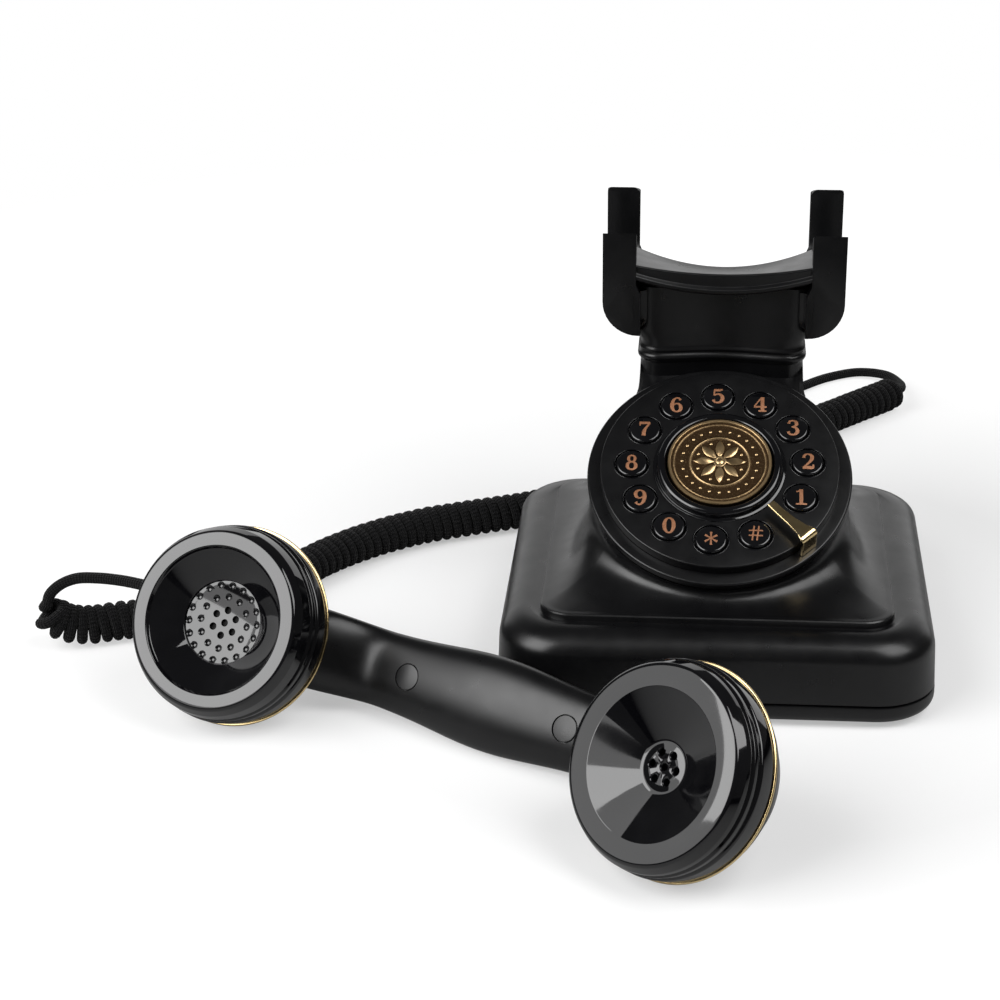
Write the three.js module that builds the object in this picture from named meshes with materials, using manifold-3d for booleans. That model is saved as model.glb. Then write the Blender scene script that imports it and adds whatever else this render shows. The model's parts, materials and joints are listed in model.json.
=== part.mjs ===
// Push-button desk telephone in the style of a rotary set, with its handset laid in front of it.
// Millimetres. +Z is up, -Y is the front, and the origin is the centre of the base pan's underside.
import * as THREE from 'three';
import { mergeVertices } from 'three/addons/utils/BufferGeometryUtils.js';
import Module from 'manifold-3d';

const wasm = await Module();
wasm.setup();

// ---------- driving dimensions ----------
const GAP = 0.3; // air between neighbouring pieces
const FOOT_HEIGHT = 1.5;
const FLOOR = -FOOT_HEIGHT; // the surface that the telephone stands on

const BASE = {
  halfX: 70.4, halfY: 67.4, corner: 20, seam: 6.7, wallTop: 20, top: 28.3, wall: 2.4,
  roundX: 9, // how far the rounded shoulder reaches in
  lowerRound: 3.2,
};
const STEP = { halfX: 56.6, halfY: 54.8, corner: 10, top: 30.4 };
const PANEL = { halfX: 38, halfY: 36, proud: 0.4 }; // flat raised panel in the middle of the underside
const FEET = { x: 52, y: 49, r: 7, top: PANEL.proud - 0.1 };
const SCREWS = { x: 58, y: 36, headR: 3.2, shankR: 1.4, top: 14 };
const SOCKET = { x0: 22, x1: 38, z0: 4, z1: 18, rim: 0.5 }; // line socket's opening in the rear wall
const CORD_EXIT = { x: -30, z: 12.5, r: 4.3 }; // handset cord's hole in the rear wall
const PILLAR = {
  halfX: 27.4, front: 27, back: 52, corner: 6, hollow: 2.6, shoulder: 79, top: 110, dish: 2.4,
};
const BEAD = { z: 87.7, proud: 0.9, halfHeight: 1.2 };

const DIAL = { y: -14, z: 65.1, tiltDeg: 31.3 };
const BEZEL = { r: 43.3, top: -3.8, bottom: -7.6, inner: 35.8 };
const PLATE = { r: 39, top: 0, bottom: -3.4 };
const KEYS = { ring: 28.7, wellR: 5.6, capR: 5.15, capTop: 1.1, travel: 1.2, firstDeg: 92, stepDeg: 28.9 };
const HUB = { outer: 20.6, inner: 17.5, top: 3.2 };
const MEDALLION = { r: 17, top: 3.6, stemR: 3, bottom: -6.5 };
const FINGER_STOP = {
  deg: -45.5, tip: 23.5, corner: 41.2, top: 5.2, tipWidth: 2.6, endWidth: 6.4, thick: 1.1,
};

const FORK = { inner: 29.1, outer: 40.2, side: 27.7, bottom: 97, floor: 115, corner: 12 };
// each prong's top falls towards the rear by `fall`
const PRONG = {
  frontY: 22, frontBack: 29, frontTop: 132.8, rearY: 59, rearBack: 65.5, rearTop: 137.6, fall: 3,
};
const SADDLE = { frontY: 23, rearY: 52, frontEnd: 121.5, frontMid: 118.8, rearEnd: 118.7, rearMid: 111.9 };
const LIP = { end: 116.8, mid: 112.1 };
const HOOK = {
  x: 34.4, y: 40, pinR: 2.4, proud: 4, travel: 4,
  barZ: 103, barHalfY: 3, barHeight: 4, barEnd: 3, stemR: 2, stemZ: 92,
};
const HOOK_SPRING = { inner: 2.6, outer: 3.6, bottom: 87.2 };

const HANDSET = { x: -81, y: -103.8, azimuthDeg: -30.3, faceDeg: 30.7, halfSpan: 83, toeDeg: 9.5 };
const CUP = { ringR: 32, ringInner: 30.4, ringSection: 0.9, rimR: 31.2, domeDepth: 20, wall: 2.2 };
// back of a cup, as shares of its radius and depth: a cone, then a quarter of an ellipse to the pole
const DOME = { cone: [[1, 0.04], [0.98, 0.18], [0.895, 0.4]], roundR: 0.8, roundFrom: 0.65, steps: 4 };
const EAR = {
  faceR: 28.7, faceZ: 15.4, dishR: 22.2, dishZ: 8.4, hubR: 6.6, hubZ: 9.6, holeRing: 4.4, holeR: 1,
};
const MOUTH = { faceR: 28.2, faceZ: 17.6, dishR: 23.5, dishZ: 10.2, plateR: 12.6, holeRing: 4.1, holeR: 1.2 };
const HANDLE = { split: -28.2, wall: 2, halfLength: 66 };
const PLUG = { u: 30, r: 4.2, depth: 1.6 };

const RELIEF = { z: -7, turnDeg: 5, inletR: 3.1 };

const CORD = { d: 3.9, coilR: 6.85 };

// colour, roughness and metalness
const FINISH = {
  satin: [0x0e0e10, 0.38, 0],
  gloss: [0x08080a, 0.08, 0],
  gold: [0xd9b45a, 0.18, 1],
  brass: [0x7a5a2c, 0.4, 1],
  rubber: [0x1a1a1a, 0.85, 0],
  steel: [0xa9adb0, 0.35, 1],
  board: [0x1f5a34, 0.6, 0],
  braid: [0x111113, 0.9, 0],
};

const rad = THREE.MathUtils.degToRad;
const v3 = (x, y, z) => new THREE.Vector3(x, y, z);

// ---------- solids ----------
function toSolid(geometry) {
  const bare = geometry.clone();
  for (const name of Object.keys(bare.attributes)) {
    if (name !== 'position') bare.deleteAttribute(name);
  }
  const merged = mergeVertices(bare, 1e-4);
  return new wasm.Manifold(new wasm.Mesh({
    numProp: 3,
    vertProperties: Float32Array.from(merged.attributes.position.array),
    triVerts: Uint32Array.from(merged.index.array),
  }));
}

function toGeometry(solid) {
  const mesh = solid.getMesh();
  const geometry = new THREE.BufferGeometry();
  geometry.setAttribute('position', new THREE.BufferAttribute(Float32Array.from(mesh.vertProperties), 3));
  geometry.setIndex(new THREE.BufferAttribute(Uint32Array.from(mesh.triVerts), 1));
  geometry.computeVertexNormals();
  return geometry;
}

// joins every solid in `add`, then takes away every one in `cut`
function carve(add, cut = []) {
  let solid = toSolid(add[0]);
  for (const piece of add.slice(1)) solid = solid.add(toSolid(piece));
  for (const piece of cut) solid = solid.subtract(toSolid(piece));
  return toGeometry(solid);
}

// a closed body through rings of equal point counts, capped flat at both ends
function loft(rings) {
  const count = rings[0].length;
  const positions = rings.flat().flatMap((p) => [p.x, p.y, p.z]);
  const index = [];
  for (let r = 0; r + 1 < rings.length; r += 1) {
    for (let i = 0; i < count; i += 1) {
      const a = r * count + i;
      const b = r * count + ((i + 1) % count);
      index.push(a, b, a + count, b, b + count, a + count);
    }
  }
  for (const [ring, base, flip] of [[rings[0], 0, true], [rings.at(-1), (rings.length - 1) * count, false]]) {
    for (const [a, b, c] of capTriangles(ring)) {
      index.push(base + a, base + (flip ? c : b), base + (flip ? b : c));
    }
  }
  const geometry = new THREE.BufferGeometry();
  geometry.setAttribute('position', new THREE.Float32BufferAttribute(positions, 3));
  geometry.setIndex(index);
  geometry.computeVertexNormals();
  return facingOut(geometry);
}

function capTriangles(ring) {
  const normal = v3(0, 0, 0);
  ring.forEach((p, i) => {
    normal.add(p.clone().cross(ring[(i + 1) % ring.length]));
  });
  normal.normalize();
  const flat = new THREE.Quaternion().setFromUnitVectors(normal, v3(0, 0, 1));
  const outline = ring.map((p) => {
    const q = p.clone().applyQuaternion(flat);
    return new THREE.Vector2(q.x, q.y);
  });
  return THREE.ShapeUtils.triangulateShape(outline, []);
}

// turns a closed body's triangles over if they face inwards
function facingOut(geometry) {
  const { array } = geometry.attributes.position;
  const at = (i) => v3(array[3 * i], array[3 * i + 1], array[3 * i + 2]);
  const index = Array.from(geometry.index.array);
  let volume = 0;
  for (let t = 0; t < index.length; t += 3) {
    volume += at(index[t]).dot(at(index[t + 1]).cross(at(index[t + 2])));
  }
  if (volume < 0) {
    for (let t = 0; t < index.length; t += 3) [index[t + 1], index[t + 2]] = [index[t + 2], index[t + 1]];
    geometry.setIndex(index);
    geometry.computeVertexNormals();
  }
  return geometry;
}

function box(x0, x1, y0, y1, z0, z1) {
  const geometry = new THREE.BoxGeometry(x1 - x0, y1 - y0, z1 - z0);
  return geometry.translate((x0 + x1) / 2, (y0 + y1) / 2, (z0 + z1) / 2);
}

// a disc or post with its axis on Z
function disc(r, z0, z1, sides = 32, x = 0, y = 0) {
  const geometry = new THREE.CylinderGeometry(r, r, z1 - z0, sides).rotateX(Math.PI / 2);
  return geometry.translate(x, y, (z0 + z1) / 2);
}

// turns an outline of [radius, z] points about Z; a ring's outline closes on itself
function turned(outline, sides = 48) {
  const points = outline.map(([r, z]) => new THREE.Vector2(r, z));
  if (outline[0][0] > 0) points.push(points[0].clone());
  return facingOut(mergeVertices(new THREE.LatheGeometry(points, sides).rotateX(Math.PI / 2), 1e-4));
}

function tube(points, d, sides, steps) {
  const path = new THREE.CatmullRomCurve3(points, false, 'centripetal');
  const section = new THREE.Shape();
  for (let i = 0; i < sides; i += 1) {
    const a = (2 * Math.PI * i) / sides;
    const [x, y] = [(d / 2) * Math.cos(a), (d / 2) * Math.sin(a)];
    if (i === 0) section.moveTo(x, y);
    else section.lineTo(x, y);
  }
  return new THREE.ExtrudeGeometry(section, { steps, extrudePath: path, bevelEnabled: false });
}

// rounded rectangle at height z, anticlockwise, with `per` points on each corner
function roundedRing(halfX, halfY, corner, z, per = 5, centreY = 0) {
  const ring = [];
  for (let quarter = 0; quarter < 4; quarter += 1) {
    const sx = quarter === 0 || quarter === 3 ? 1 : -1;
    const sy = quarter < 2 ? 1 : -1;
    for (let i = 0; i < per; i += 1) {
      const a = (Math.PI / 2) * (quarter + i / (per - 1));
      ring.push(v3(sx * (halfX - corner) + corner * Math.cos(a),
        centreY + sy * (halfY - corner) + corner * Math.sin(a), z));
    }
  }
  return ring;
}

// ---------- the scene ----------
const telephone = new THREE.Group();
telephone.name = 'telephone';

const dial = new THREE.Group();
dial.position.set(0, DIAL.y, DIAL.z);
dial.rotation.x = rad(DIAL.tiltDeg);
telephone.add(dial);
dial.updateMatrix();

const handset = new THREE.Group();
handset.position.set(HANDSET.x, HANDSET.y, 0);
handset.rotation.set(rad(90 - HANDSET.faceDeg), 0, rad(HANDSET.azimuthDeg), 'ZYX');
telephone.add(handset);

function piece(parent, name, finish, geometry) {
  const [color, roughness, metalness] = FINISH[finish];
  const material = new THREE.MeshStandardMaterial({ color, roughness, metalness });
  const mesh = new THREE.Mesh(geometry, material);
  mesh.name = name;
  parent.add(mesh);
  return mesh;
}

// ---------- base and housing ----------
function basePan() {
  const { halfX, halfY, corner, seam, lowerRound, wall } = BASE;
  const rings = [];
  for (const a of [0, 30, 60, 90]) {
    const inset = lowerRound * (1 - Math.sin(rad(a)));
    const z = PANEL.proud + lowerRound * (1 - Math.cos(rad(a)));
    rings.push(roundedRing(halfX - inset, halfY - inset, corner - inset, z));
  }
  rings.push(roundedRing(halfX, halfY, corner, seam - GAP));
  const inside = loft([wall, seam + 1].map((z) => roundedRing(halfX - wall, halfY - wall, corner - wall, z)));
  const socket = box(SOCKET.x0, SOCKET.x1, halfY - 8, halfY + 3, SOCKET.z0, seam + 1);
  const panel = box(-PANEL.halfX, PANEL.halfX, -PANEL.halfY, PANEL.halfY, 0, 1);
  return carve([loft(rings), panel], [inside, socket]);
}

// plan-view radius, at an angle, of the curve where the body meets the dial and the pillar
function crownPoint(angle, inset) {
  const tilt = rad(DIAL.tiltDeg);
  const dialAxis = v3(0, -Math.sin(tilt), Math.cos(tilt));
  const centre = v3(0, DIAL.y, DIAL.z).addScaledVector(dialAxis, BEZEL.bottom - GAP);
  const r = BEZEL.r - 0.7 - inset;
  const [c, s] = [Math.cos(angle), Math.sin(angle)];
  const [a, b] = [r, r * Math.cos(tilt)];
  const qa = (c / a) ** 2 + (s / b) ** 2;
  const qb = (-2 * s * centre.y) / b ** 2;
  const qc = (centre.y / b) ** 2 - 1;
  const round = (-qb + Math.sqrt(qb * qb - 4 * qa * qc)) / (2 * qa);
  const halfX = PILLAR.halfX - inset;
  const back = PILLAR.back - inset;
  const square = s > 0 ? Math.min(halfX / Math.max(Math.abs(c), 1e-6), back / s) : 0;
  const reach = Math.max(round, square);
  const y = reach * s;
  const z = centre.z + (y - centre.y) * Math.tan(tilt);
  return { point: v3(reach * c, y, Math.min(z, PILLAR.shoulder)), onPillar: square > round };
}

// plan-view point of a rounded rectangle at an angle from the centre
function outlinePoint(angle, halfX, halfY, corner, z) {
  const [c, s] = [Math.cos(angle), Math.sin(angle)];
  const straight = Math.min(halfX / Math.max(Math.abs(c), 1e-6), halfY / Math.max(Math.abs(s), 1e-6));
  const [ix, iy] = [halfX - corner, halfY - corner];
  if (Math.abs(straight * c) > ix && Math.abs(straight * s) > iy) {
    const along = ix * Math.abs(c) + iy * Math.abs(s);
    const reach = along + Math.sqrt(along ** 2 - ix ** 2 - iy ** 2 + corner ** 2);
    return v3(reach * c, reach * s, z);
  }
  return v3(straight * c, straight * s, z);
}

// the body sweeps up in a hollow curve from the step to the dial and the pillar
function bodyRings(inset, drop, sides = 44) {
  const tilt = rad(DIAL.tiltDeg);
  const dialAxis = v3(0, -Math.sin(tilt), Math.cos(tilt));
  const low = [];
  const columns = [];
  for (let i = 0; i < sides; i += 1) {
    const angle = (2 * Math.PI * (i + 0.5)) / sides;
    const edge = inset + 0.6; // the sweep starts just inside the step's edge
    const start = outlinePoint(angle, STEP.halfX - edge, STEP.halfY - edge, STEP.corner, STEP.top - drop);
    const { point: end, onPillar } = crownPoint(angle, inset);
    end.z -= drop;
    const span = end.distanceTo(start);
    const inwards = v3(end.x - start.x, end.y - start.y, 0);
    // at the back, where the pillar stands almost over the edge, the sweep is a plain upright wall
    const reach = Math.min(0.42 * span, 1.05 * inwards.length());
    const leave = start.clone().addScaledVector(inwards.normalize(), reach).add(v3(0, 0, 0.05 * span));
    const arrive = end.clone().addScaledVector(onPillar ? v3(0, 0, 1) : dialAxis, -0.4 * span);
    columns.push(new THREE.CubicBezierCurve3(start, leave, arrive, end));
    low.push(v3(start.x, start.y, BASE.top - 6 - drop));
  }
  const rings = [low];
  for (const t of [0, 0.2, 0.4, 0.6, 0.8, 1]) rings.push(columns.map((curve) => curve.getPoint(t)));
  return rings;
}

function plinthRings(inset, bottom) {
  const { halfX, halfY, corner, wallTop, top, roundX } = BASE;
  const rings = [roundedRing(halfX - inset, halfY - inset, corner - inset, bottom)];
  for (const a of [0, 30, 60, 90]) {
    const d = 0.6 + inset + roundX * (1 - Math.cos(rad(a)));
    const z = wallTop + (top - inset - wallTop) * Math.sin(rad(a));
    rings.push(roundedRing(halfX - d, halfY - d, corner - inset - 0.4 * (d - inset), z));
  }
  return rings;
}

function stepSolid() {
  const levels = [[0, BASE.top - 2], [0, STEP.top - 1], [0.3, STEP.top - 0.4], [1, STEP.top]];
  return loft(levels.map(([d, z]) => roundedRing(STEP.halfX - d, STEP.halfY - d, STEP.corner - d, z)));
}

// section of the pillar: rounded corners, with a hollow front and back
function pillarRing(grow, z, per = 3) {
  const halfY = (PILLAR.back - PILLAR.front) / 2;
  const middle = (PILLAR.back + PILLAR.front) / 2;
  const ring = roundedRing(PILLAR.halfX + grow, halfY + grow, PILLAR.corner, z, per, middle);
  const full = [];
  ring.forEach((p, i) => {
    full.push(p);
    const next = ring[(i + 1) % ring.length];
    if (Math.abs(next.x - p.x) > PILLAR.halfX) {
      for (const t of [0.25, 0.5, 0.75]) {
        const side = Math.sign(p.y - middle);
        const dish = PILLAR.dish * (1 - (2 * t - 1) ** 2);
        full.push(v3(p.x + t * (next.x - p.x), p.y - side * dish, z));
      }
    }
  });
  return full;
}

function pillarSolid(grow, bottom, top) {
  const { z, proud, halfHeight } = BEAD;
  const levels = [[0, bottom]];
  if (grow === 0) {
    levels.push([0, z - halfHeight], [proud, z - halfHeight / 2]);
    levels.push([proud, z + halfHeight / 2], [0, z + halfHeight]);
  }
  levels.push([0, top]);
  return loft(levels.map(([d, height]) => pillarRing(grow + d, height)));
}

// room for the hook's bar to move in
function hookSlot(room, z0, z1) {
  const { x, y, barHalfY } = HOOK;
  return box(-x - 4, x + 4, y - barHalfY - room, y + barHalfY + room, z0, z1);
}

function housing() {
  const { wall, seam } = BASE;
  const pod = disc(BEZEL.r + 3, BEZEL.bottom - GAP, 60, 32).applyMatrix4(dial.matrix);
  const opening = disc(BEZEL.inner + 1.4, -22, 4, 32).applyMatrix4(dial.matrix);
  const outside = [loft(plinthRings(0, seam)), stepSolid(), loft(bodyRings(0, 0))];
  const shell = toSolid(outside[0]).add(toSolid(outside[1])).add(toSolid(outside[2])).subtract(toSolid(pod));
  const hollow = [
    loft(plinthRings(wall, seam - 1)),
    loft(bodyRings(wall, wall)),
    pillarSolid(-PILLAR.hollow, PILLAR.shoulder - 12, PILLAR.top + 1),
    opening,
    box(SOCKET.x0, SOCKET.x1, BASE.halfY - 12, BASE.halfY + 3, seam - 1, SOCKET.z1),
    disc(CORD_EXIT.r, BASE.halfY - 12, BASE.halfY + 4, 16)
      .rotateX(-Math.PI / 2)
      .translate(CORD_EXIT.x, 0, CORD_EXIT.z),
    hookSlot(1, HOOK.barZ - HOOK.travel - 1.5, PILLAR.top + 1),
  ];
  let solid = shell.add(toSolid(pillarSolid(0, PILLAR.shoulder - 9, PILLAR.top)));
  for (const cut of hollow) solid = solid.subtract(toSolid(cut));
  return toGeometry(solid);
}

piece(telephone, 'base_pan', 'satin', basePan());
piece(telephone, 'housing', 'satin', housing());

function foot() {
  const { r, top } = FEET;
  return turned([[0, FLOOR], [r - 0.8, FLOOR], [r, FLOOR + 0.7], [r, top], [0, top]], 24);
}

function baseScrew() {
  const { headR, shankR, top } = SCREWS;
  const head = BASE.wall + 0.2;
  const outline = [
    [0, head], [headR, head], [headR, head + 1.8], [shankR, head + 2.2], [shankR, top - 1], [0, top],
  ];
  return turned(outline, 12);
}

const corners = [[-1, -1], [-1, 1], [1, -1], [1, 1]];
corners.forEach(([sx, sy], i) => {
  piece(telephone, `foot_${i + 1}`, 'rubber', foot()).position.set(sx * FEET.x, sy * FEET.y, 0);
  piece(telephone, `base_screw_${i + 1}`, 'steel', baseScrew()).position.set(sx * SCREWS.x, sy * SCREWS.y, 0);
});

// ---------- inside the base ----------
piece(telephone, 'ballast_plate', 'steel', box(-45, 45, -44, -8, 2.7, 6.7));
piece(telephone, 'main_board', 'board', box(-44, 44, 4, 46, 9, 10.6));
const ringerOutline = [[0, 8], [15, 8], [15, 12], [11, 14], [11, 19], [0, 19]];
piece(telephone, 'ringer', 'gloss', turned(ringerOutline, 24)).position.set(-26, -26, 0);

function lineSocket() {
  const { x0, x1, z0, z1, rim } = SOCKET;
  const back = BASE.halfY;
  const block = box(x0 + rim, x1 - rim, back - 15, back - 0.9, z0 + GAP, z1 - rim);
  return carve([block], [box(x0 + 2.5, x1 - 2.5, back - 13, back, z0 + 2.8, z1 - 3)]);
}
piece(telephone, 'line_socket', 'gloss', lineSocket());

// a flange inside the wall, then a sleeve that narrows towards the cord
const baseRelief = [[0, 0], [5.6, 0], [5.6, 1.6], [3.9, 1.6], [3.9, 6], [3.2, 18], [2.3, 18], [0, 18]];
piece(telephone, 'base_cord_relief', 'rubber', turned(baseRelief, 16).rotateX(-Math.PI / 2))
  .position.set(CORD_EXIT.x, BASE.halfY - 4.6, CORD_EXIT.z);

// ---------- dial ----------
function bezel() {
  const { r, top, bottom, inner } = BEZEL;
  const outline = [
    [inner, bottom], [r - 1, bottom], [r, bottom + 0.8], [r, top - 0.8], [r - 0.8, top], [inner, top],
  ];
  return turned(outline, 40);
}
piece(dial, 'dial_bezel', 'satin', bezel());

const keyNames = ['5', '6', '7', '8', '9', '0', 'star', 'hash', '4', '3', '2', '1'];
const keyPlaces = keyNames.map((name, i) => {
  const turn = i < 8 ? i : 7 - i;
  const a = rad(KEYS.firstDeg + KEYS.stepDeg * turn);
  return { name, x: KEYS.ring * Math.cos(a), y: KEYS.ring * Math.sin(a) };
});

function plate() {
  const { r, top, bottom } = PLATE;
  const outline = [[0, bottom], [r, bottom], [r, top - 0.6], [r - 0.6, top], [0, top]];
  const wells = keyPlaces.map(({ x, y }) => disc(KEYS.wellR, -9, 9, 14, x, y));
  return carve([turned(outline, 40)], [...wells, disc(HUB.inner + 0.1, -9, 9, 32)]);
}
piece(dial, 'dial_plate', 'satin', plate());

// a key's cap stands in its well on a wider flange, which lies under the plate
const keyFlange = PLATE.bottom - GAP;
const keyBottom = keyFlange - 1.2;
function key() {
  const { capR, capTop, wellR } = KEYS;
  const flangeR = wellR + 0.8;
  return turned([[0, keyBottom], [flangeR, keyBottom], [flangeR, keyFlange], [capR, keyFlange], [capR, 0.3],
    [0, capTop]], 14);
}
for (const { name, x, y } of keyPlaces) piece(dial, `key_${name}`, 'gloss', key()).position.set(x, y, 0);

function hubRing() {
  const { outer, inner, top } = HUB;
  const outline = [
    [inner, GAP], [outer, GAP], [outer, 1.6], [outer - 0.8, top], [inner + 0.8, top], [inner, 2.2],
  ];
  return turned(outline, 32);
}
piece(dial, 'hub_ring', 'gloss', hubRing());

function rocker() {
  const { r, top, stemR, bottom } = MEDALLION;
  return turned([[0, bottom], [stemR, bottom], [stemR, -3], [r - 1, -3], [r, top], [0, top]], 32);
}
piece(dial, 'redial_recall_rocker', 'brass', rocker());

// the finger stop lies over the plate, widens outwards and drops onto the bezel
function fingerStop() {
  const { tip, corner: end, top, tipWidth, endWidth, thick } = FINGER_STOP;
  const foot = BEZEL.top + GAP;
  const under = top - thick;
  const rings = [
    [tip, under, tipWidth], [tip + 8, under - 0.3, tipWidth + 0.4], [end - 4, under, endWidth - 1],
    [end - thick, under, endWidth],
  ];
  const section = ([r, z, width]) => {
    const half = width / 2;
    return [v3(r, -half, z), v3(r, half, z), v3(r, half - 0.2, z + thick), v3(r, -half + 0.2, z + thick)];
  };
  const bar = loft(rings.map(section));
  const drop = box(end - thick - 0.2, end, -endWidth / 2, endWidth / 2, foot, top);
  return carve([bar, drop]);
}
piece(dial, 'finger_stop', 'gold', fingerStop()).rotation.z = rad(FINGER_STOP.deg);

const matTop = keyBottom - KEYS.travel - GAP;
const flatRing = (inner, outer, z0, z1) => turned([[inner, z0], [outer, z0], [outer, z1], [inner, z1]], 28);
piece(dial, 'key_mat', 'rubber', flatRing(19, 34.5, matTop - 1, matTop));
piece(dial, 'keypad_board', 'board', flatRing(8, 34.5, matTop - 3, matTop - 1.4));

// ---------- cradle ----------
// U-shaped fork, seen from the side: a front prong, a floor and a taller rear prong
function forkSolid(side) {
  const { inner, outer, side: flank, bottom, floor, corner: r } = FORK;
  const slab = (x0, y0, y1, top, fall) => {
    const centreX = outer - r;
    const from = -Math.acos(Math.max((x0 - centreX) / r, 0));
    const lower = x0 < centreX ? [[x0, bottom]] : [];
    for (let i = 0; i <= 4; i += 1) {
      const a = from * (1 - i / 4);
      lower.push([centreX + r * Math.cos(a), bottom + r + r * Math.sin(a)]);
    }
    const sections = [[y0, top], [y1, top - fall]].map(([y, high]) => (
      [[x0, high], ...lower, [outer, high]].map(([x, z]) => v3(x, y, z))));
    return toSolid(loft(sections));
  };
  const { frontY, frontBack, frontTop, rearY, rearBack, rearTop, fall } = PRONG;
  const fork = slab(flank, frontY, rearBack, floor, 0)
    .add(slab(inner, frontY, frontBack, frontTop, fall))
    .add(slab(inner, rearY, rearBack, rearTop, fall));
  return side < 0 ? fork.mirror([1, 0, 0]) : fork;
}

// the saddle's top is an arc across, deeper at the rear; a curved lip hangs at its front
function saddleSolid() {
  const half = FORK.inner + 1;
  const { frontY, frontEnd, frontMid, rearY, rearEnd, rearMid } = SADDLE;
  const rows = [[frontY, frontEnd, frontMid], [rearY, rearEnd, rearMid]];
  const rings = rows.map(([y, end, mid], row) => {
    const ring = [];
    for (let i = 0; i <= 8; i += 1) {
      const t = i / 4 - 1;
      ring.push(v3(half * t, y, mid + (end - mid) * t * t));
    }
    for (let i = 8; i >= 0; i -= 1) {
      const t = i / 4 - 1;
      ring.push(v3(half * t, y, row === 0 ? LIP.mid + (LIP.end - LIP.mid) * t * t : PILLAR.top + 0.3));
    }
    return ring;
  });
  return loft(rings);
}

function cradle() {
  let solid = toSolid(saddleSolid()).add(forkSolid(1)).add(forkSolid(-1));
  const pillar = pillarSolid(GAP, 60, PILLAR.top + GAP);
  const slot = hookSlot(0.6, HOOK.barZ - HOOK.travel - 1, HOOK.barZ + HOOK.barHeight + 0.6);
  const cuts = [pillar, slot];
  for (const side of [-1, 1]) cuts.push(disc(HOOK.pinR + 0.35, 95, 150, 16, side * HOOK.x, HOOK.y));
  for (const cut of cuts) solid = solid.subtract(toSolid(cut));
  return toGeometry(solid);
}

function hookYoke() {
  const { x, y, pinR, proud, barZ, barHalfY, barHeight, barEnd, stemR, stemZ } = HOOK;
  const tip = FORK.floor + proud;
  const plungers = [-1, 1].map((side) => (
    turned([[0, barZ + 1], [pinR, barZ + 1], [pinR, tip - 1], [0, tip]], 12).translate(side * x, y, 0)));
  const bar = box(-x - barEnd, x + barEnd, y - barHalfY, y + barHalfY, barZ, barZ + barHeight);
  return carve([bar, ...plungers, disc(stemR, stemZ, barZ + 1, 12, 0, y)]);
}

function hookSpring() {
  const { inner, outer, bottom } = HOOK_SPRING;
  const top = HOOK.barZ - GAP;
  return turned([[inner, bottom], [outer, bottom], [outer, top], [inner, top]], 16);
}
piece(telephone, 'cradle', 'satin', cradle());
piece(telephone, 'hook_yoke', 'gloss', hookYoke());
piece(telephone, 'hook_spring', 'steel', hookSpring()).position.y = HOOK.y;
piece(telephone, 'hook_switch', 'gloss', box(-9, 9, HOOK.y - 4, HOOK.y + 4, 78, HOOK_SPRING.bottom - 0.4));

// ---------- handset ----------
handset.position.z = handsetHeight();

// both cups rest on the surface, on the trim ring or on the dome behind it
function handsetHeight() {
  const lean = Math.sin(rad(HANDSET.faceDeg)) * Math.cos(rad(HANDSET.toeDeg));
  const upright = Math.sqrt(1 - lean ** 2);
  const ring = (CUP.ringR + CUP.ringSection / 2) * upright;
  const dome = domeOutline(CUP.rimR, CUP.domeDepth).map(([r, z]) => upright * r - lean * z);
  return FLOOR + 0.05 + Math.max(ring, ...dome);
}

function cupGroup(side) {
  const group = new THREE.Group();
  group.position.x = side * HANDSET.halfSpan;
  group.rotation.y = rad(-side * HANDSET.toeDeg);
  handset.add(group);
  group.updateMatrix();
  return group;
}
const mouthEnd = cupGroup(-1);
const earEnd = cupGroup(1);

// the domed back of a cup, from the trim ring to its pole
function domeOutline(r, depth) {
  const { cone, roundR, roundFrom, steps } = DOME;
  const end = Array.from({ length: steps + 1 }, (_, i) => {
    const a = (Math.PI / 2) * (1 - i / steps);
    return [roundR * Math.sin(a), roundFrom + (1 - roundFrom) * Math.cos(a)];
  });
  return [...cone, ...end].map(([across, back]) => [across * r, -back * depth]);
}

function domeShell() {
  const outer = domeOutline(CUP.rimR, CUP.domeDepth);
  const inner = domeOutline(CUP.rimR - CUP.wall, CUP.domeDepth - CUP.wall);
  return turned([...outer.reverse(), ...inner], 32);
}

// a whole cup, dome and cap together, grown by `grow`
function cupSpace(grow) {
  const r = CUP.rimR + grow;
  return turned([...domeOutline(r, CUP.domeDepth + grow).reverse(), [r, 14], [0, 14]], 32);
}

// outside of a cap: a wide band, a lower band and a rounded rim round the face
function capOutline({ faceR, faceZ, dishR }, dish, back) {
  return [
    ...back,
    [31.9, 0.8], [31.9, 6.4], [31.4, 7.8], [31.35, 9.4],
    [31, 10.8], [faceR + 2, faceZ - 3], [faceR + 0.3, faceZ],
    [dishR + 0.4, faceZ], ...dish,
  ];
}

function ringOf(count, r, phase = 0) {
  return Array.from({ length: count }, (_, i) => {
    const a = phase + (2 * Math.PI * i) / count;
    return [r * Math.cos(a), r * Math.sin(a)];
  });
}

function earCap() {
  const { dishR, dishZ, hubR, hubZ, faceZ, holeRing, holeR } = EAR;
  const dish = [[dishR - 0.6, faceZ - 0.7], [hubR + 0.8, dishZ], [hubR - 0.6, hubZ], [0, hubZ]];
  const rear = dishZ - 2.4;
  const back = [[0, rear], [hubR, rear], [dishR, faceZ - 3.4], [28.6, faceZ - 4.4], [28.8, 0.8]];
  const holes = [[0, 0], ...ringOf(6, holeRing)].map(([x, y]) => disc(holeR, 0, 20, 6, x, y));
  return carve([turned(capOutline(EAR, dish, back), 32)], holes);
}

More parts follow.
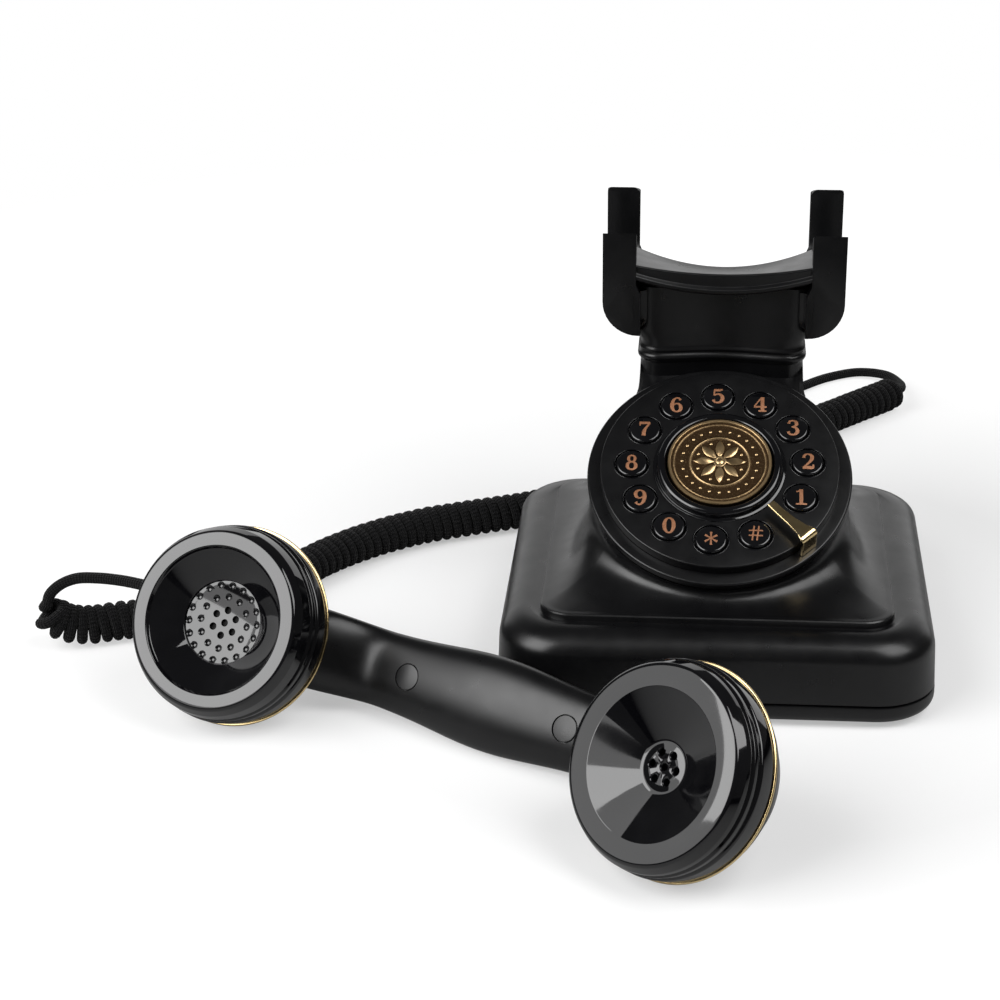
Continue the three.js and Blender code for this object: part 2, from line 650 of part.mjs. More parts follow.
function mouthCap() {
  const { dishR, dishZ, plateR, faceZ, holeRing, holeR } = MOUTH;
  const dish = [[dishR - 0.6, faceZ - 0.9], [plateR, dishZ], [0, dishZ]];
  const back = [[0, dishZ - 2], [plateR, dishZ - 2], [dishR, faceZ - 3.6], [28, faceZ - 4.4], [28.4, 0.8]];
  const holes = [[0, 0], ...ringOf(6, holeRing, Math.PI / 6)].map(([x, y]) => disc(holeR, 0, 22, 6, x, y));
  return carve([turned(capOutline(MOUTH, dish, back), 32)], holes);
}

// the mouth cup has an inlet for the cord's relief
function mouthShell() {
  const { z, turnDeg, inletR } = RELIEF;
  const inlet = disc(inletR, -40, 0, 12).rotateY(Math.PI / 2).rotateZ(-rad(turnDeg)).translate(0, 0, z);
  return carve([domeShell()], [inlet]);
}

function trimRing() {
  const { ringR, ringInner: inner, ringSection } = CUP;
  const half = ringSection / 2;
  return turned([[inner, -half], [ringR, -half], [ringR + half, 0], [ringR, half], [inner, half]], 32);
}

piece(mouthEnd, 'mouth_cup', 'satin', mouthShell());
piece(earEnd, 'ear_cup', 'satin', domeShell());
piece(mouthEnd, 'mouth_trim_ring', 'gold', trimRing());
piece(earEnd, 'ear_trim_ring', 'gold', trimRing());
piece(mouthEnd, 'mouth_cap', 'gloss', mouthCap());
piece(earEnd, 'ear_cap', 'gloss', earCap());
piece(mouthEnd, 'microphone', 'steel', disc(9, 2, 7.6, 24));
piece(earEnd, 'receiver', 'steel', turned([[0, -6], [12, -6], [19, -2], [19, 3], [0, 3]], 24));

// half-width and half-thickness of the handle, and its mid-line, at a distance u from the middle
function handleAt(u) {
  const s = Math.min(Math.abs(u) / HANDLE.halfLength, 1);
  const swell = Math.exp(-((u / 26) ** 2));
  const flare = THREE.MathUtils.smoothstep(s, 0.62, 1);
  return {
    wide: 12 + 3.6 * swell + 1.2 * flare,
    front: 5.4 + 1.6 * swell + 1.5 * flare,
    rear: 7.6 + 0.4 * swell + 1 * flare,
    middle: HANDLE.split + 12 * flare ** 1.3,
  };
}

// half of the handle's hollow section, as a closed C of points: the front (+1) or the rear (-1) shell
function handleRing(u, half, wall) {
  const { wide, front, rear, middle } = handleAt(u);
  const depth = half > 0 ? front : rear;
  const steps = 6;
  const arc = (inset) => Array.from({ length: steps + 1 }, (_, i) => {
    const a = Math.PI * (i / steps);
    return v3(u, (wide - inset) * Math.cos(a), middle + half * (GAP / 2 + (depth - inset) * Math.sin(a)));
  });
  return wall > 0 ? [...arc(0), ...arc(wall).reverse()] : arc(0);
}

function handleShell(half) {
  const rings = [];
  for (let i = 0; i <= 18; i += 1) {
    rings.push(handleRing(-HANDSET.halfSpan + (2 * HANDSET.halfSpan * i) / 18, half, HANDLE.wall));
  }
  const cuts = [cupSpace(GAP).applyMatrix4(mouthEnd.matrix), cupSpace(GAP).applyMatrix4(earEnd.matrix)];
  for (const side of [-1, 1]) {
    if (half > 0) cuts.push(plugShape(side, 0.25, 30));
  }
  return carve([loft(rings)], cuts);
}

function plugShape(side, grow, above) {
  const top = HANDLE.split + handleAt(PLUG.u).front + 0.1;
  return disc(PLUG.r + grow, top - PLUG.depth - grow, top + above, 20, side * PLUG.u, 0);
}
piece(handset, 'handle_front_shell', 'satin', handleShell(1));
piece(handset, 'handle_rear_shell', 'satin', handleShell(-1));
for (const [side, name] of [[-1, 'mouth'], [1, 'ear']]) {
  piece(handset, `handle_plug_${name}`, 'satin', plugShape(side, 0, 0));
}

const mouthRelief = turned([[0, 15], [3.8, 15], [3.8, 16.5], [2.6, 16.5], [2.6, 31], [2.3, 38], [0, 38]], 12);
mouthRelief.rotateY(-Math.PI / 2).rotateZ(-rad(RELIEF.turnDeg));
piece(mouthEnd, 'handset_cord_relief', 'rubber', mouthRelief).position.z = RELIEF.z;

// ---------- cord ----------
// routes as [x, y, height above the floor] of the cord's middle
const low = CORD.d / 2 + 0.2;
const coilLow = CORD.coilR + 0.1;
const baseLead = [
  [-30, 81.2, 14], [-30, 92, 15.3], [-29, 107, 16.5], [-26, 124, 12.5], [-20, 143, 4.1], [-11, 162, low],
  [3, 186, low], [19, 209, low], [35, 227, low], [47, 239, low], [60, 244.5, low + 0.5], [71, 239, low + 1.5],
  [76.5, 228, 3.9], [75.4, 215.4, 6.3],
];
// the coil lies flat, and its far end curls up
const coilFlat = [
  [73.6, 212.5], [69, 206.5], [58, 195], [45.3, 181.3], [20, 155], [-10, 126], [-38, 103], [-67.7, 84],
  [-92.9, 72.5], [-108.8, 64.5], [-125.6, 51.6], [-138.3, 37.9], [-152, 18], [-170, -2], [-190, -14.5],
  [-203, -18.9], [-212, -22.4],
].map(([x, y]) => [x, y, coilLow]);
const coilPath = [...coilFlat, [-218.8, -25, 8.8], [-223.2, -26.6, 12.4], [-224, -27.3, 15.8]];
const handsetLead = [
  [-224.2, -27.5, 16.5], [-224, -27.8, 18.6], [-222.4, -28.2, 21.6], [-218.6, -28.5, 25], [-213, -28.8, 27.4],
  [-205.5, -30, 28.3], [-197, -33.4, 29.3], [-189.8, -37.6, 30.2], [-185.3, -40.3, 30.6],
];
const along = (route) => route.map(([x, y, height]) => v3(x, y, FLOOR + height));
piece(telephone, 'cord_lead_base', 'braid', tube(along(baseLead), CORD.d, 8, 30));
piece(telephone, 'cord_coil', 'braid', tube(along(coilPath), 2 * CORD.coilR, 8, 34));
piece(telephone, 'cord_lead_handset', 'braid', tube(along(handsetLead), CORD.d, 8, 12));

export default telephone;
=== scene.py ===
import json
import math

import bmesh
import bpy
import numpy as np
from mathutils import Matrix, Vector


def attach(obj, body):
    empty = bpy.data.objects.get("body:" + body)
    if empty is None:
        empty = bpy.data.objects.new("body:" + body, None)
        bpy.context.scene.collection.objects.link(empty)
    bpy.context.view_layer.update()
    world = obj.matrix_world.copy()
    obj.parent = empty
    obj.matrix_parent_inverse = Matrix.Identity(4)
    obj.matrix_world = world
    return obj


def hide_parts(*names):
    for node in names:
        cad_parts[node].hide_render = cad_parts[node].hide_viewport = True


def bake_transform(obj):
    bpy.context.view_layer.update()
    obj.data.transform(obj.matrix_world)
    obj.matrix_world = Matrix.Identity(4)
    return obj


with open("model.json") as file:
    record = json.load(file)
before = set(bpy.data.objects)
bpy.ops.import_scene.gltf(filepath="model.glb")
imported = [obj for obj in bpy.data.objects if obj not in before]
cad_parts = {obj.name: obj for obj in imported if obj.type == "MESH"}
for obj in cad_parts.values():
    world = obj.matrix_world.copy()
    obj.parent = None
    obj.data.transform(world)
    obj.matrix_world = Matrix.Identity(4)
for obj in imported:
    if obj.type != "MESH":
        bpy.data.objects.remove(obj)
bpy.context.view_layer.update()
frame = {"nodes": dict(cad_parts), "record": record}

# Desk telephone with a push-button dial. Lengths are in millimetres until a mesh is made, and Z is up.
MM = 0.001
FLOOR = -1.5

# ---------- dimensions shared with the CAD part ----------
BASE_X, BASE_Y, BASE_CORNER, SEAM, WALL_TOP, PLINTH_TOP, SHOULDER_ROUND = 70.4, 67.4, 20, 6.7, 20, 28.3, 9
PAN_FLOOR, PAN_ROUND, PAN_LIP = 0.4, 3.2, 1.6
SOCKET_LEFT, SOCKET_RIGHT, SOCKET_BOTTOM = 22, 38, 4
STEP_X, STEP_Y, STEP_CORNER, STEP_TOP = 56.6, 54.8, 10, 30.4
PILLAR_X, PILLAR_FRONT, PILLAR_BACK, PILLAR_CORNER, PILLAR_DISH = 27.4, 27, 52, 6, 2.4
BEAD_Z, FLARE, FLARE_FROM, FLARE_OVER = 87.7, 0.1, 92, 5.5
BODY_OUT, BODY_OVER, BODY_RISE, BODY_ARRIVAL, BODY_STEPS = 0.42, 1.05, 0.05, 0.4, 26
DIAL_CENTRE, DIAL_TILT = (0, -14, 65.1), 31.3
BEZEL_R, BEZEL_TOP, BEZEL_BOTTOM, BEZEL_INNER = 43.3, -3.8, -7.6, 35.8
PLATE_R, PLATE_BOTTOM = 39, -3.4
KEY_RING, WELL_R, CAP_R, CAP_TOP, FIRST_KEY, KEY_STEP = 28.7, 5.6, 5.15, 1.1, 92, 28.9
CAP_ROUND, CAP_EDGE_Z = 0.75, -0.1
KEY_NAMES = ["5", "6", "7", "8", "9", "0", "star", "hash", "4", "3", "2", "1"]
HUB_OUTER, HUB_INNER, HUB_TOP = 20.6, 17.5, 3.2
MEDALLION_R, MEDALLION_FACE, LEAVES = 17, 3.15, 8
STOP_ANGLE, STOP_TIP, STOP_THICKNESS = -45.5, 23.5, 1.1
FORK_INNER, FORK_OUTER, FORK_BOTTOM, FORK_FLOOR, FORK_CORNER = 29.1, 40.2, 97, 115, 12
PRONG_FRONT, PRONG_FRONT_BACK, PRONG_FRONT_TOP = 22, 29, 132.8
PRONG_REAR, PRONG_REAR_BACK, PRONG_REAR_TOP = 59, 65.5, 137.6
PRONG_FALL, FORK_ROOT = 3, 1.6
HOOK_X, HOOK_Y, HOOK_R, HOOK_BAR_Z = 34.4, 40, 2.4, 103
HANDSET_X, HANDSET_Y, AZIMUTH, FACE_TILT, HALF_SPAN, TOE = -81, -103.8, -30.3, 30.7, 83, 9.5
RING_R, RING_INNER, RING_SECTION, DOME_R, DOME_DEPTH = 32, 30.4, 0.9, 31.2, 20
DOME_CONE, DOME_ROUND_R, DOME_ROUND_FROM, DOME_STEPS = [(1, 0.04), (0.98, 0.18), (0.895, 0.4)], 0.8, 0.65, 4
FLOOR_GAP = 0.05
HANDLE_MIDDLE, HANDLE_HALF, HANDLE_OVERRUN, HANDLE_CLOSES, HANDLE_SIDES = -28.2, 66, 2.6, 60, 64
HANDLE_FULLNESS = 2.1
PLUG_U, PLUG_R = 30, 4.2
HOLLOW_R = 1.7
CORD_D, COIL_R, BRAID_LENGTH, BRAID_STRANDS = 3.9, 6.85, 2.1, 8


# ---------- places ----------
def turn(axis, degrees):
    return Matrix.Rotation(math.radians(degrees), 4, axis)


def shift(x, y, z):
    return Matrix.Translation((x, y, z))


def dome_outline(r, depth):
    """Back of a cup from its rim to its pole: a cone, then a quarter of an ellipse."""
    shares = list(DOME_CONE)
    for step in range(DOME_STEPS + 1):
        a = math.pi / 2 * (1 - step / DOME_STEPS)
        shares.append((DOME_ROUND_R * math.sin(a), DOME_ROUND_FROM + (1 - DOME_ROUND_FROM) * math.cos(a)))
    return [(across * r, -back * depth) for across, back in shares]


def handset_height():
    """Height of the handset's axis, with its cups resting on the floor on their rings or on their domes."""
    lean = math.sin(math.radians(FACE_TILT)) * math.cos(math.radians(TOE))
    upright = math.sqrt(1 - lean**2)
    on_ring = (RING_R + RING_SECTION / 2) * upright
    on_dome = max(upright * r - lean * z for r, z in dome_outline(DOME_R, DOME_DEPTH))
    return FLOOR + FLOOR_GAP + max(on_ring, on_dome)


DIAL = shift(*DIAL_CENTRE) @ turn("X", DIAL_TILT)
HANDSET = shift(HANDSET_X, HANDSET_Y, handset_height()) @ turn("Z", AZIMUTH) @ turn("X", 90 - FACE_TILT)
MOUTH_END = HANDSET @ shift(-HALF_SPAN, 0, 0) @ turn("Y", TOE)
EAR_END = HANDSET @ shift(HALF_SPAN, 0, 0) @ turn("Y", -TOE)


def key_place(index):
    steps = index if index < 8 else 7 - index
    angle = math.radians(FIRST_KEY + KEY_STEP * steps)
    return DIAL @ shift(KEY_RING * math.cos(angle), KEY_RING * math.sin(angle), 0)


# ---------- mesh making ----------
def smoothstep(t):
    t = np.clip(t, 0, 1)
    return t * t * (3 - 2 * t)


def filleted(corners, steps=6):
    """Points of an outline given as (a, b, radius) corners: each corner with a radius becomes an arc."""
    out = []
    count = len(corners)
    for i, (a, b, radius) in enumerate(corners):
        here = np.array([a, b], float)
        if radius == 0:
            out.append(here)
            continue
        back = np.array(corners[i - 1][:2], float) - here
        ahead = np.array(corners[(i + 1) % count][:2], float) - here
        back /= np.linalg.norm(back)
        ahead /= np.linalg.norm(ahead)
        half = math.acos(np.clip(back @ ahead, -1, 1)) / 2
        bisector = (back + ahead) / np.linalg.norm(back + ahead)
        centre = here + bisector * radius / math.sin(half)
        start = here + back * radius / math.tan(half) - centre
        end = here + ahead * radius / math.tan(half) - centre
        sweep = math.pi - 2 * half
        for k in range(steps + 1):
            t = k / steps
            point = (math.sin((1 - t) * sweep) * start + math.sin(t * sweep) * end) / math.sin(sweep)
            out.append(centre + point)
    return out


def curve_through(points, step):
    """Points about `step` apart on a smooth curve through the given ones."""
    p = np.array(points, float)
    p = np.vstack([2 * p[0] - p[1], p, 2 * p[-1] - p[-2]])
    out = []
    for i in range(1, len(p) - 2):
        a, b, c, d = p[i - 1 : i + 3]
        count = max(2, int(np.linalg.norm(c - b) / step))
        t = np.arange(count)[:, None] / count
        knots = np.cumsum([0] + [math.sqrt(np.linalg.norm(v)) for v in (b - a, c - b, d - c)])
        span = knots[2] - knots[1]
        start = (c - b) - span * ((c - a) / (knots[2] - knots[0]) - (b - a) / knots[1])
        end = (c - b) + span * ((d - c) / (knots[3] - knots[2]) - (d - b) / (knots[3] - knots[1]))
        from_b = b * (2 * t**3 - 3 * t**2 + 1) + start * (t**3 - 2 * t**2 + t)
        out.append(from_b + c * (3 * t**2 - 2 * t**3) + end * (t**3 - t**2))
    out.append(p[-2][None])
    return np.vstack(out)


def evenly(points, count):
    """`count` points at even spacing along a polyline."""
    lengths = np.concatenate([[0], np.cumsum(np.linalg.norm(np.diff(points, axis=0), axis=1))])
    at = np.linspace(0, lengths[-1], count)
    return np.stack([np.interp(at, lengths, points[:, i]) for i in range(points.shape[1])], 1)


def loft(rings, caps=True):
    """A body through rings of equal point counts."""
    verts = [tuple(p) for ring in rings for p in ring]
    count = len(rings[0])
    faces = []
    for r in range(len(rings) - 1):
        for i in range(count):
            j = (i + 1) % count
            faces.append((r * count + i, r * count + j, (r + 1) * count + j, (r + 1) * count + i))
    if caps:
        last = (len(rings) - 1) * count
        faces.append(tuple(range(count - 1, -1, -1)))
        faces.append(tuple(last + i for i in range(count)))
    return verts, faces


def lathe(outline, sides=96, closed=False):
    """Turns (radius, z) points about Z. A point on the axis is a pole; a closed outline makes a ring."""
    verts, rows, faces = [], [], []
    angles = [2 * math.pi * k / sides for k in range(sides)]
    for r, z in outline:
        if r < 1e-6:
            rows.append([len(verts)] * sides)
            verts.append((0, 0, z))
            continue
        rows.append(list(range(len(verts), len(verts) + sides)))
        verts += [(r * math.cos(a), r * math.sin(a), z) for a in angles]
    pairs = list(zip(rows, rows[1:]))
    if closed:
        pairs.append((rows[-1], rows[0]))
    for low, high in pairs:
        for k in range(sides):
            n = (k + 1) % sides
            face = list(dict.fromkeys([low[k], low[n], high[n], high[k]]))
            if len(face) > 2:
                faces.append(tuple(face))
    return verts, faces


def extrusion(outline, low, high, place):
    """A flat outline pushed from low to high; place(a, b, c) says which axis is which."""
    return loft([[place(a, b, c) for a, b in outline] for c in (low, high)])


def seen_from_front(a, b, c):
    """An outline's across, up and depth as X, Z and Y."""
    return a, c, b


def rod(r, bottom, top, sides):
    """Round rod along Z."""
    return lathe([(0, bottom), (r, bottom), (r, top), (0, top)], sides)


def merged(*parts):
    """Several (verts, faces) in one."""
    verts, faces = [], []
    for part_verts, part_faces in parts:
        base = len(verts)
        verts += list(part_verts)
        faces += [tuple(base + i for i in face) for face in part_faces]
    return verts, faces


def moved(part, place):
    verts, faces = part
    return [tuple(place @ Vector(v)) for v in verts], faces


def make(name, part, material, place=None, sharp=32):
    """A mesh object in metres, shaded smooth except over sharp edges."""
    verts, faces = moved(part, place) if place is not None else part
    mesh = bpy.data.meshes.new(name)
    mesh.from_pydata([tuple(c * MM for c in v) for v in verts], [], faces)
    bm = bmesh.new()
    bm.from_mesh(mesh)
    bmesh.ops.remove_doubles(bm, verts=bm.verts, dist=1e-7)
    bmesh.ops.recalc_face_normals(bm, faces=bm.faces)
    bm.to_mesh(mesh)
    bm.free()
    mesh.shade_smooth()
    mesh.set_sharp_from_angle(angle=math.radians(sharp))
    obj = bpy.data.objects.new(name, mesh)
    bpy.context.scene.collection.objects.link(obj)
    if material is not None:
        mesh.materials.append(material)
    return obj


def bake_modifiers(obj, sharp=32):
    """Puts the modifiers' result into the mesh."""
    depsgraph = bpy.context.evaluated_depsgraph_get()
    mesh = bpy.data.meshes.new_from_object(obj.evaluated_get(depsgraph))
    obj.modifiers.clear()
    obj.data = mesh
    mesh.shade_smooth()
    mesh.set_sharp_from_angle(angle=math.radians(sharp))


def cut(obj, *parts, operation="DIFFERENCE", sharp=32):
    """Takes the parts away from obj, or keeps only what they share."""
    for part in parts:
        tool = make("cutter", part, None)
        boolean = obj.modifiers.new("cut", "BOOLEAN")
        boolean.operation = operation
        boolean.solver = "EXACT"
        boolean.object = tool
        bake_modifiers(obj, sharp)
        bpy.data.objects.remove(tool)


def bevelled(obj, width, segments=3, angle=30):
    bevel = obj.modifiers.new("bevel", "BEVEL")
    bevel.width = width * MM
    bevel.segments = segments
    bevel.limit_method = "ANGLE"
    bevel.angle_limit = math.radians(angle)
    bake_modifiers(obj, 40)


def finished(obj, body, slot, *nodes):
    """Rides the piece on its body and hides the CAD nodes that it stands for. The slot is not used."""
    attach(obj, body)
    if nodes:
        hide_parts(*nodes)


# ---------- materials ----------
class Nodes:
    """Shorthand for building a material's node tree."""

    def __init__(self, name):
        self.material = bpy.data.materials.new(name)
        self.material.use_nodes = True
        self.tree = self.material.node_tree
        self.shader = self.tree.nodes["Principled BSDF"]

    def add(self, kind, inputs=(), **settings):
        node = self.tree.nodes.new(kind)
        for key, value in settings.items():
            setattr(node, key, value)
        for key, value in dict(inputs).items():
            if isinstance(value, bpy.types.NodeSocket):
                self.tree.links.new(value, node.inputs[key])
            else:
                node.inputs[key].default_value = value
        return node

    def shade(self, **inputs):
        for key, value in inputs.items():
            socket = self.shader.inputs[key.replace("_", " ")]
            if isinstance(value, bpy.types.NodeSocket):
                self.tree.links.new(value, socket)
            else:
                socket.default_value = value

    def place(self):
        return self.add("ShaderNodeTexCoord").outputs["Object"]

    def noise(self, scale, detail=2, vector=None):
        inputs = {"Vector": vector or self.place(), "Scale": scale, "Detail": detail}
        return self.add("ShaderNodeTexNoise", inputs).outputs["Fac"]

    def ranged(self, value, low, high, from_low=0.3, from_high=0.7):
        inputs = {0: value, 1: from_low, 2: from_high, 3: low, 4: high}
        return self.add("ShaderNodeMapRange", inputs).outputs[0]

    def math(self, operation, *values):
        return self.add("ShaderNodeMath", dict(enumerate(values)), operation=operation).outputs[0]

    def mix(self, factor, a, b):
        node = self.add("ShaderNodeMix", {"Factor": factor}, data_type="RGBA")
        for socket, value in ((node.inputs[6], a), (node.inputs[7], b)):
            if isinstance(value, bpy.types.NodeSocket):
                self.tree.links.new(value, socket)
            else:
                socket.default_value = (*value, 1)
        return node.outputs[2]

    def bump(self, height, strength, distance):
        inputs = {"Height": height, "Strength": strength, "Distance": distance}
        self.shade(Normal=self.add("ShaderNodeBump", inputs).outputs[0])


def moulded(name, dark, light, rough, grain, grain_depth, specular):
    """Moulded plastic or rubber: cloudy colour and gloss, with the fine grain of its mould."""
    n = Nodes(name)
    cloud = n.noise(45, 4)
    n.shade(
        Base_Color=n.mix(n.ranged(cloud, 0, 1), dark, light),
        Roughness=n.ranged(n.noise(160, 5), *rough),
        Specular_IOR_Level=specular,
    )
    n.bump(n.noise(grain, 3), 0.5, grain_depth)
    return n.material


def polished(name):
    """Piano-black plastic: deep gloss, slightly uneven, with faint wiping marks."""
    n = Nodes(name)
    smears = n.ranged(n.noise(70, 6), 0, 1, 0.45, 0.75)
    n.shade(
        Base_Color=n.mix(smears, (0.0022, 0.0022, 0.0028), (0.0045, 0.0045, 0.0052)),
        Roughness=n.math("MULTIPLY_ADD", smears, 0.05, 0.035),
        Specular_IOR_Level=0.5,
        Coat_Weight=0.25,
        Coat_Roughness=0.03,
    )
    n.bump(n.noise(55, 1), 0.25, 0.00006)
    return n.material


def metal(name, dark, light, rough_low, rough_high, grain=900):
    n = Nodes(name)
    cloud = n.noise(220, 5)
    n.shade(
        Base_Color=n.mix(n.ranged(cloud, 0, 1), dark, light),
        Metallic=1.0,
        Roughness=n.ranged(n.noise(400, 4), rough_low, rough_high),
    )
    n.bump(n.noise(grain, 2), 0.3, 0.000012)
    return n.material


def antique_brass():
    """Dark in the hollows and rubbed bright where the relief is high, from the mesh's own 'worn' value."""
    n = Nodes("antique_brass")
    worn = n.add("ShaderNodeAttribute", attribute_name="worn").outputs["Fac"]
    speckle = n.noise(2400, 4)
    rubbed = n.math("ADD", worn, n.math("SUBTRACT", speckle, 0.44))
    amount = n.ranged(rubbed, 0, 1, 0.12, 0.95)
    n.shade(
        Base_Color=n.mix(amount, (0.05, 0.029, 0.014), (0.6, 0.42, 0.22)),
        Metallic=1.0,
        Roughness=n.ranged(amount, 0.5, 0.3, 0, 1),
    )
    n.bump(n.noise(900, 4), 0.5, 0.00005)
    return n.material


def copper_print():
    n = Nodes("copper_print")
    speckle = n.noise(1500, 4)
    n.shade(
        Base_Color=n.mix(n.ranged(speckle, 0, 1), (0.24, 0.1, 0.048), (0.38, 0.175, 0.09)),
        Metallic=0.35,
        Roughness=0.42,
    )
    n.bump(speckle, 0.3, 0.00003)
    return n.material


def braided(name):
    """Braided yarn: two sets of strands that cross, in the cord's own (length, turn) coordinates, with painted shade
    between the strands and painted sheen on their tops.
    """
    n = Nodes(name)
    uv = n.add("ShaderNodeUVMap", uv_map="braid").outputs[0]
    split = n.add("ShaderNodeSeparateXYZ", {0: uv})
    along = n.math("MULTIPLY", split.outputs[0], 2 * math.pi / BRAID_LENGTH)
    around = n.math("MULTIPLY", split.outputs[1], 2 * math.pi * BRAID_STRANDS)
    rising = n.math("SINE", n.math("ADD", around, along))
    falling = n.math("SINE", n.math("SUBTRACT", around, along))
    height = n.math("MULTIPLY", rising, falling)
    # painted sheen and shade: the colour is lighter on the raised strands and darkest in the gaps between them,
    # following the bump's height; the fibre flecks are the yarn's own
    fibres_and_strand_shading = n.math("MULTIPLY", n.ranged(height, 0, 1, 0.2, 0.9), n.noise(2600, 2))
    fleck_and_strand_shading = n.ranged(fibres_and_strand_shading, 0, 1, 0.25, 0.6)
    n.shade(
        Base_Color=n.mix(fleck_and_strand_shading, (0.0015, 0.0015, 0.0018), (0.014, 0.0135, 0.014)),
        Roughness=0.8,
        Specular_IOR_Level=0.15,
        Sheen_Weight=0.04,
        Sheen_Roughness=0.5,
    )
    n.bump(height, 0.9, 0.00035)
    return n.material


SATIN = moulded("satin_black", (0.0015, 0.0015, 0.0018), (0.003, 0.003, 0.0034),
    (0.27, 0.34), 2600, 0.000012, 0.42)
GLOSS = polished("gloss_black")
GOLD = metal("gold", (0.74, 0.55, 0.27), (0.86, 0.68, 0.37), 0.1, 0.17)
BRASS = antique_brass()
RUBBER = moulded("rubber", (0.006, 0.006, 0.006), (0.012, 0.012, 0.012), (0.7, 0.9), 1500, 0.00003, 0.25)
STEEL = metal("steel", (0.45, 0.45, 0.46), (0.62, 0.62, 0.63), 0.28, 0.42)
BOARD = moulded("board", (0.02, 0.1, 0.04), (0.03, 0.14, 0.06), (0.45, 0.65), 900, 0.00002, 0.4)
BRAID = braided("braid")
COPPER = copper_print()
BY_SLOT = {
    "satin_black": SATIN,
    "gloss_black": GLOSS,
    "gold": GOLD,
    "antique_brass": BRASS,
    "rubber": RUBBER,
    "steel": STEEL,
    "board": BOARD,
    "braid": BRAID,
}


# ---------- camera, floor and light ----------
CAMERA_PLACE, CAMERA_PITCH, CAMERA_ROLL, CAMERA_AHEAD = (-0.0048, -0.7679, 0.3855), 23.8, -0.7, (-0.0889, 0.996)
FLOOR_HALF = 6000
ROOM_LIT, ROOM_SEEN = 0.07, 1.0


def camera():
    """Eye level and lens of a photographer who stands back and looks slightly down."""
    pitch, roll = math.radians(CAMERA_PITCH), math.radians(CAMERA_ROLL)
    x, y = CAMERA_AHEAD
    forward = Vector((x * math.cos(pitch), y * math.cos(pitch), -math.sin(pitch))).normalized()
    level = Vector((y, -x, 0)).normalized()
    above = level.cross(forward)
    right = level * math.cos(roll) + above * math.sin(roll)
    up = above * math.cos(roll) - level * math.sin(roll)
    data = bpy.data.cameras.new("camera")
    data.lens = 90
    data.sensor_width = 36
    data.clip_start, data.clip_end = 0.05, 20
    obj = bpy.data.objects.new("camera", data)
    bpy.context.scene.collection.objects.link(obj)
    turned = Matrix((right, up, -forward)).transposed().to_4x4()
    obj.matrix_world = Matrix.Translation(CAMERA_PLACE) @ turned
    bpy.context.scene.camera = obj


def floor():
    """Pale floor that takes soft shadows near the telephone and is plain white further out."""
    n = Nodes("floor")
    radius = n.add("ShaderNodeVectorMath", {0: n.place()}, operation="LENGTH").outputs["Value"]
    far = n.ranged(radius, 0, 1, 0.14, 0.4)
    seen = n.add("ShaderNodeLightPath").outputs["Is Camera Ray"]
    n.shade(
        Base_Color=n.mix(n.ranged(radius, 0, 1, 0.12, 0.6), (0.5, 0.5, 0.5), (0, 0, 0)),
        Roughness=0.8,
        Specular_IOR_Level=0.0,
        Emission_Color=(1, 1, 1, 1),
        Emission_Strength=n.math("MULTIPLY", seen, n.ranged(far, 0.42, 1.0, 0, 1)),
    )
    corners = [(x * FLOOR_HALF, y * FLOOR_HALF, 0) for x, y in ((-1, -1), (1, -1), (1, 1), (-1, 1))]
    obj = make("floor", (corners, [(0, 1, 2, 3)]), n.material)
    obj.location.z = FLOOR * MM


def panel(name, centre, target, width, height, power):
    """A rectangular area light, in metres and watts, that faces its target."""
    light = bpy.data.lights.new(name, "AREA")
    light.shape = "RECTANGLE"
    light.size, light.size_y = width, height
    light.energy = power
    obj = bpy.data.objects.new(name, light)
    bpy.context.scene.collection.objects.link(obj)
    obj.location = centre
    obj.rotation_euler = (Vector(target) - Vector(centre)).to_track_quat("-Z", "Y").to_euler()


def studio():
    """Room that is white to the eye and dark in reflections, with softboxes at the sides and a panel behind."""
    world = bpy.data.worlds.new("world")
    bpy.context.scene.world = world
    world.use_nodes = True
    tree = world.node_tree
    background = tree.nodes["Background"]
    seen = tree.nodes.new("ShaderNodeLightPath")
    strength = tree.nodes.new("ShaderNodeMapRange")
    tree.links.new(seen.outputs["Is Camera Ray"], strength.inputs[0])
    strength.inputs[3].default_value = ROOM_LIT
    strength.inputs[4].default_value = ROOM_SEEN
    tree.links.new(strength.outputs[0], background.inputs[1])
    background.inputs[0].default_value = (1, 1, 1, 1)
    panel("left_softbox", (-0.92, -0.64, 0.83), (-0.03, -0.03, 0.05), 1.3, 1.3, 10)
    panel("left_core", (-0.84, -0.66, 0.8), (-0.03, -0.03, 0.05), 0.85, 0.85, 11)
    panel("right_softbox", (0.7, -0.42, 1.12), (0, 0, 0.05), 0.9, 0.9, 12.7)
    panel("back_panel", (0, 2.3, 0.8), (0, 0, 0.8), 5.0, 1.6, 25)
    bpy.context.scene.view_settings.view_transform = "Standard"
    bpy.context.scene.view_settings.look = "None"


# ---------- cord ----------
LOW = CORD_D / 2 + 0.2
COIL_LOW = COIL_R + 0.1
BASE_LEAD = [
    (-30, 81.2, 14), (-30, 92, 15.3), (-29, 107, 16.5), (-26, 124, 12.5), (-20, 143, 4.1), (-11, 162, LOW),
    (3, 186, LOW), (19, 209, LOW), (35, 227, LOW), (47, 239, LOW), (60, 244.5, LOW + 0.5), (71, 239, LOW + 1.5),
    (76.5, 228, 3.9), (75.4, 215.4, 6.3),
]
COIL_ON_FLOOR = [
    (73.6, 212.5), (69, 206.5), (58, 195), (45.3, 181.3), (20, 155), (-10, 126), (-38, 103), (-67.7, 84),
    (-92.9, 72.5), (-108.8, 64.5), (-125.6, 51.6), (-138.3, 37.9), (-152, 18), (-170, -2), (-190, -14.5),
    (-203, -18.9), (-212, -22.4),
]
COIL = [(x, y, COIL_LOW) for x, y in COIL_ON_FLOOR]
COIL += [(-218.8, -25, 8.8), (-223.2, -26.6, 12.4), (-224, -27.3, 15.8)]
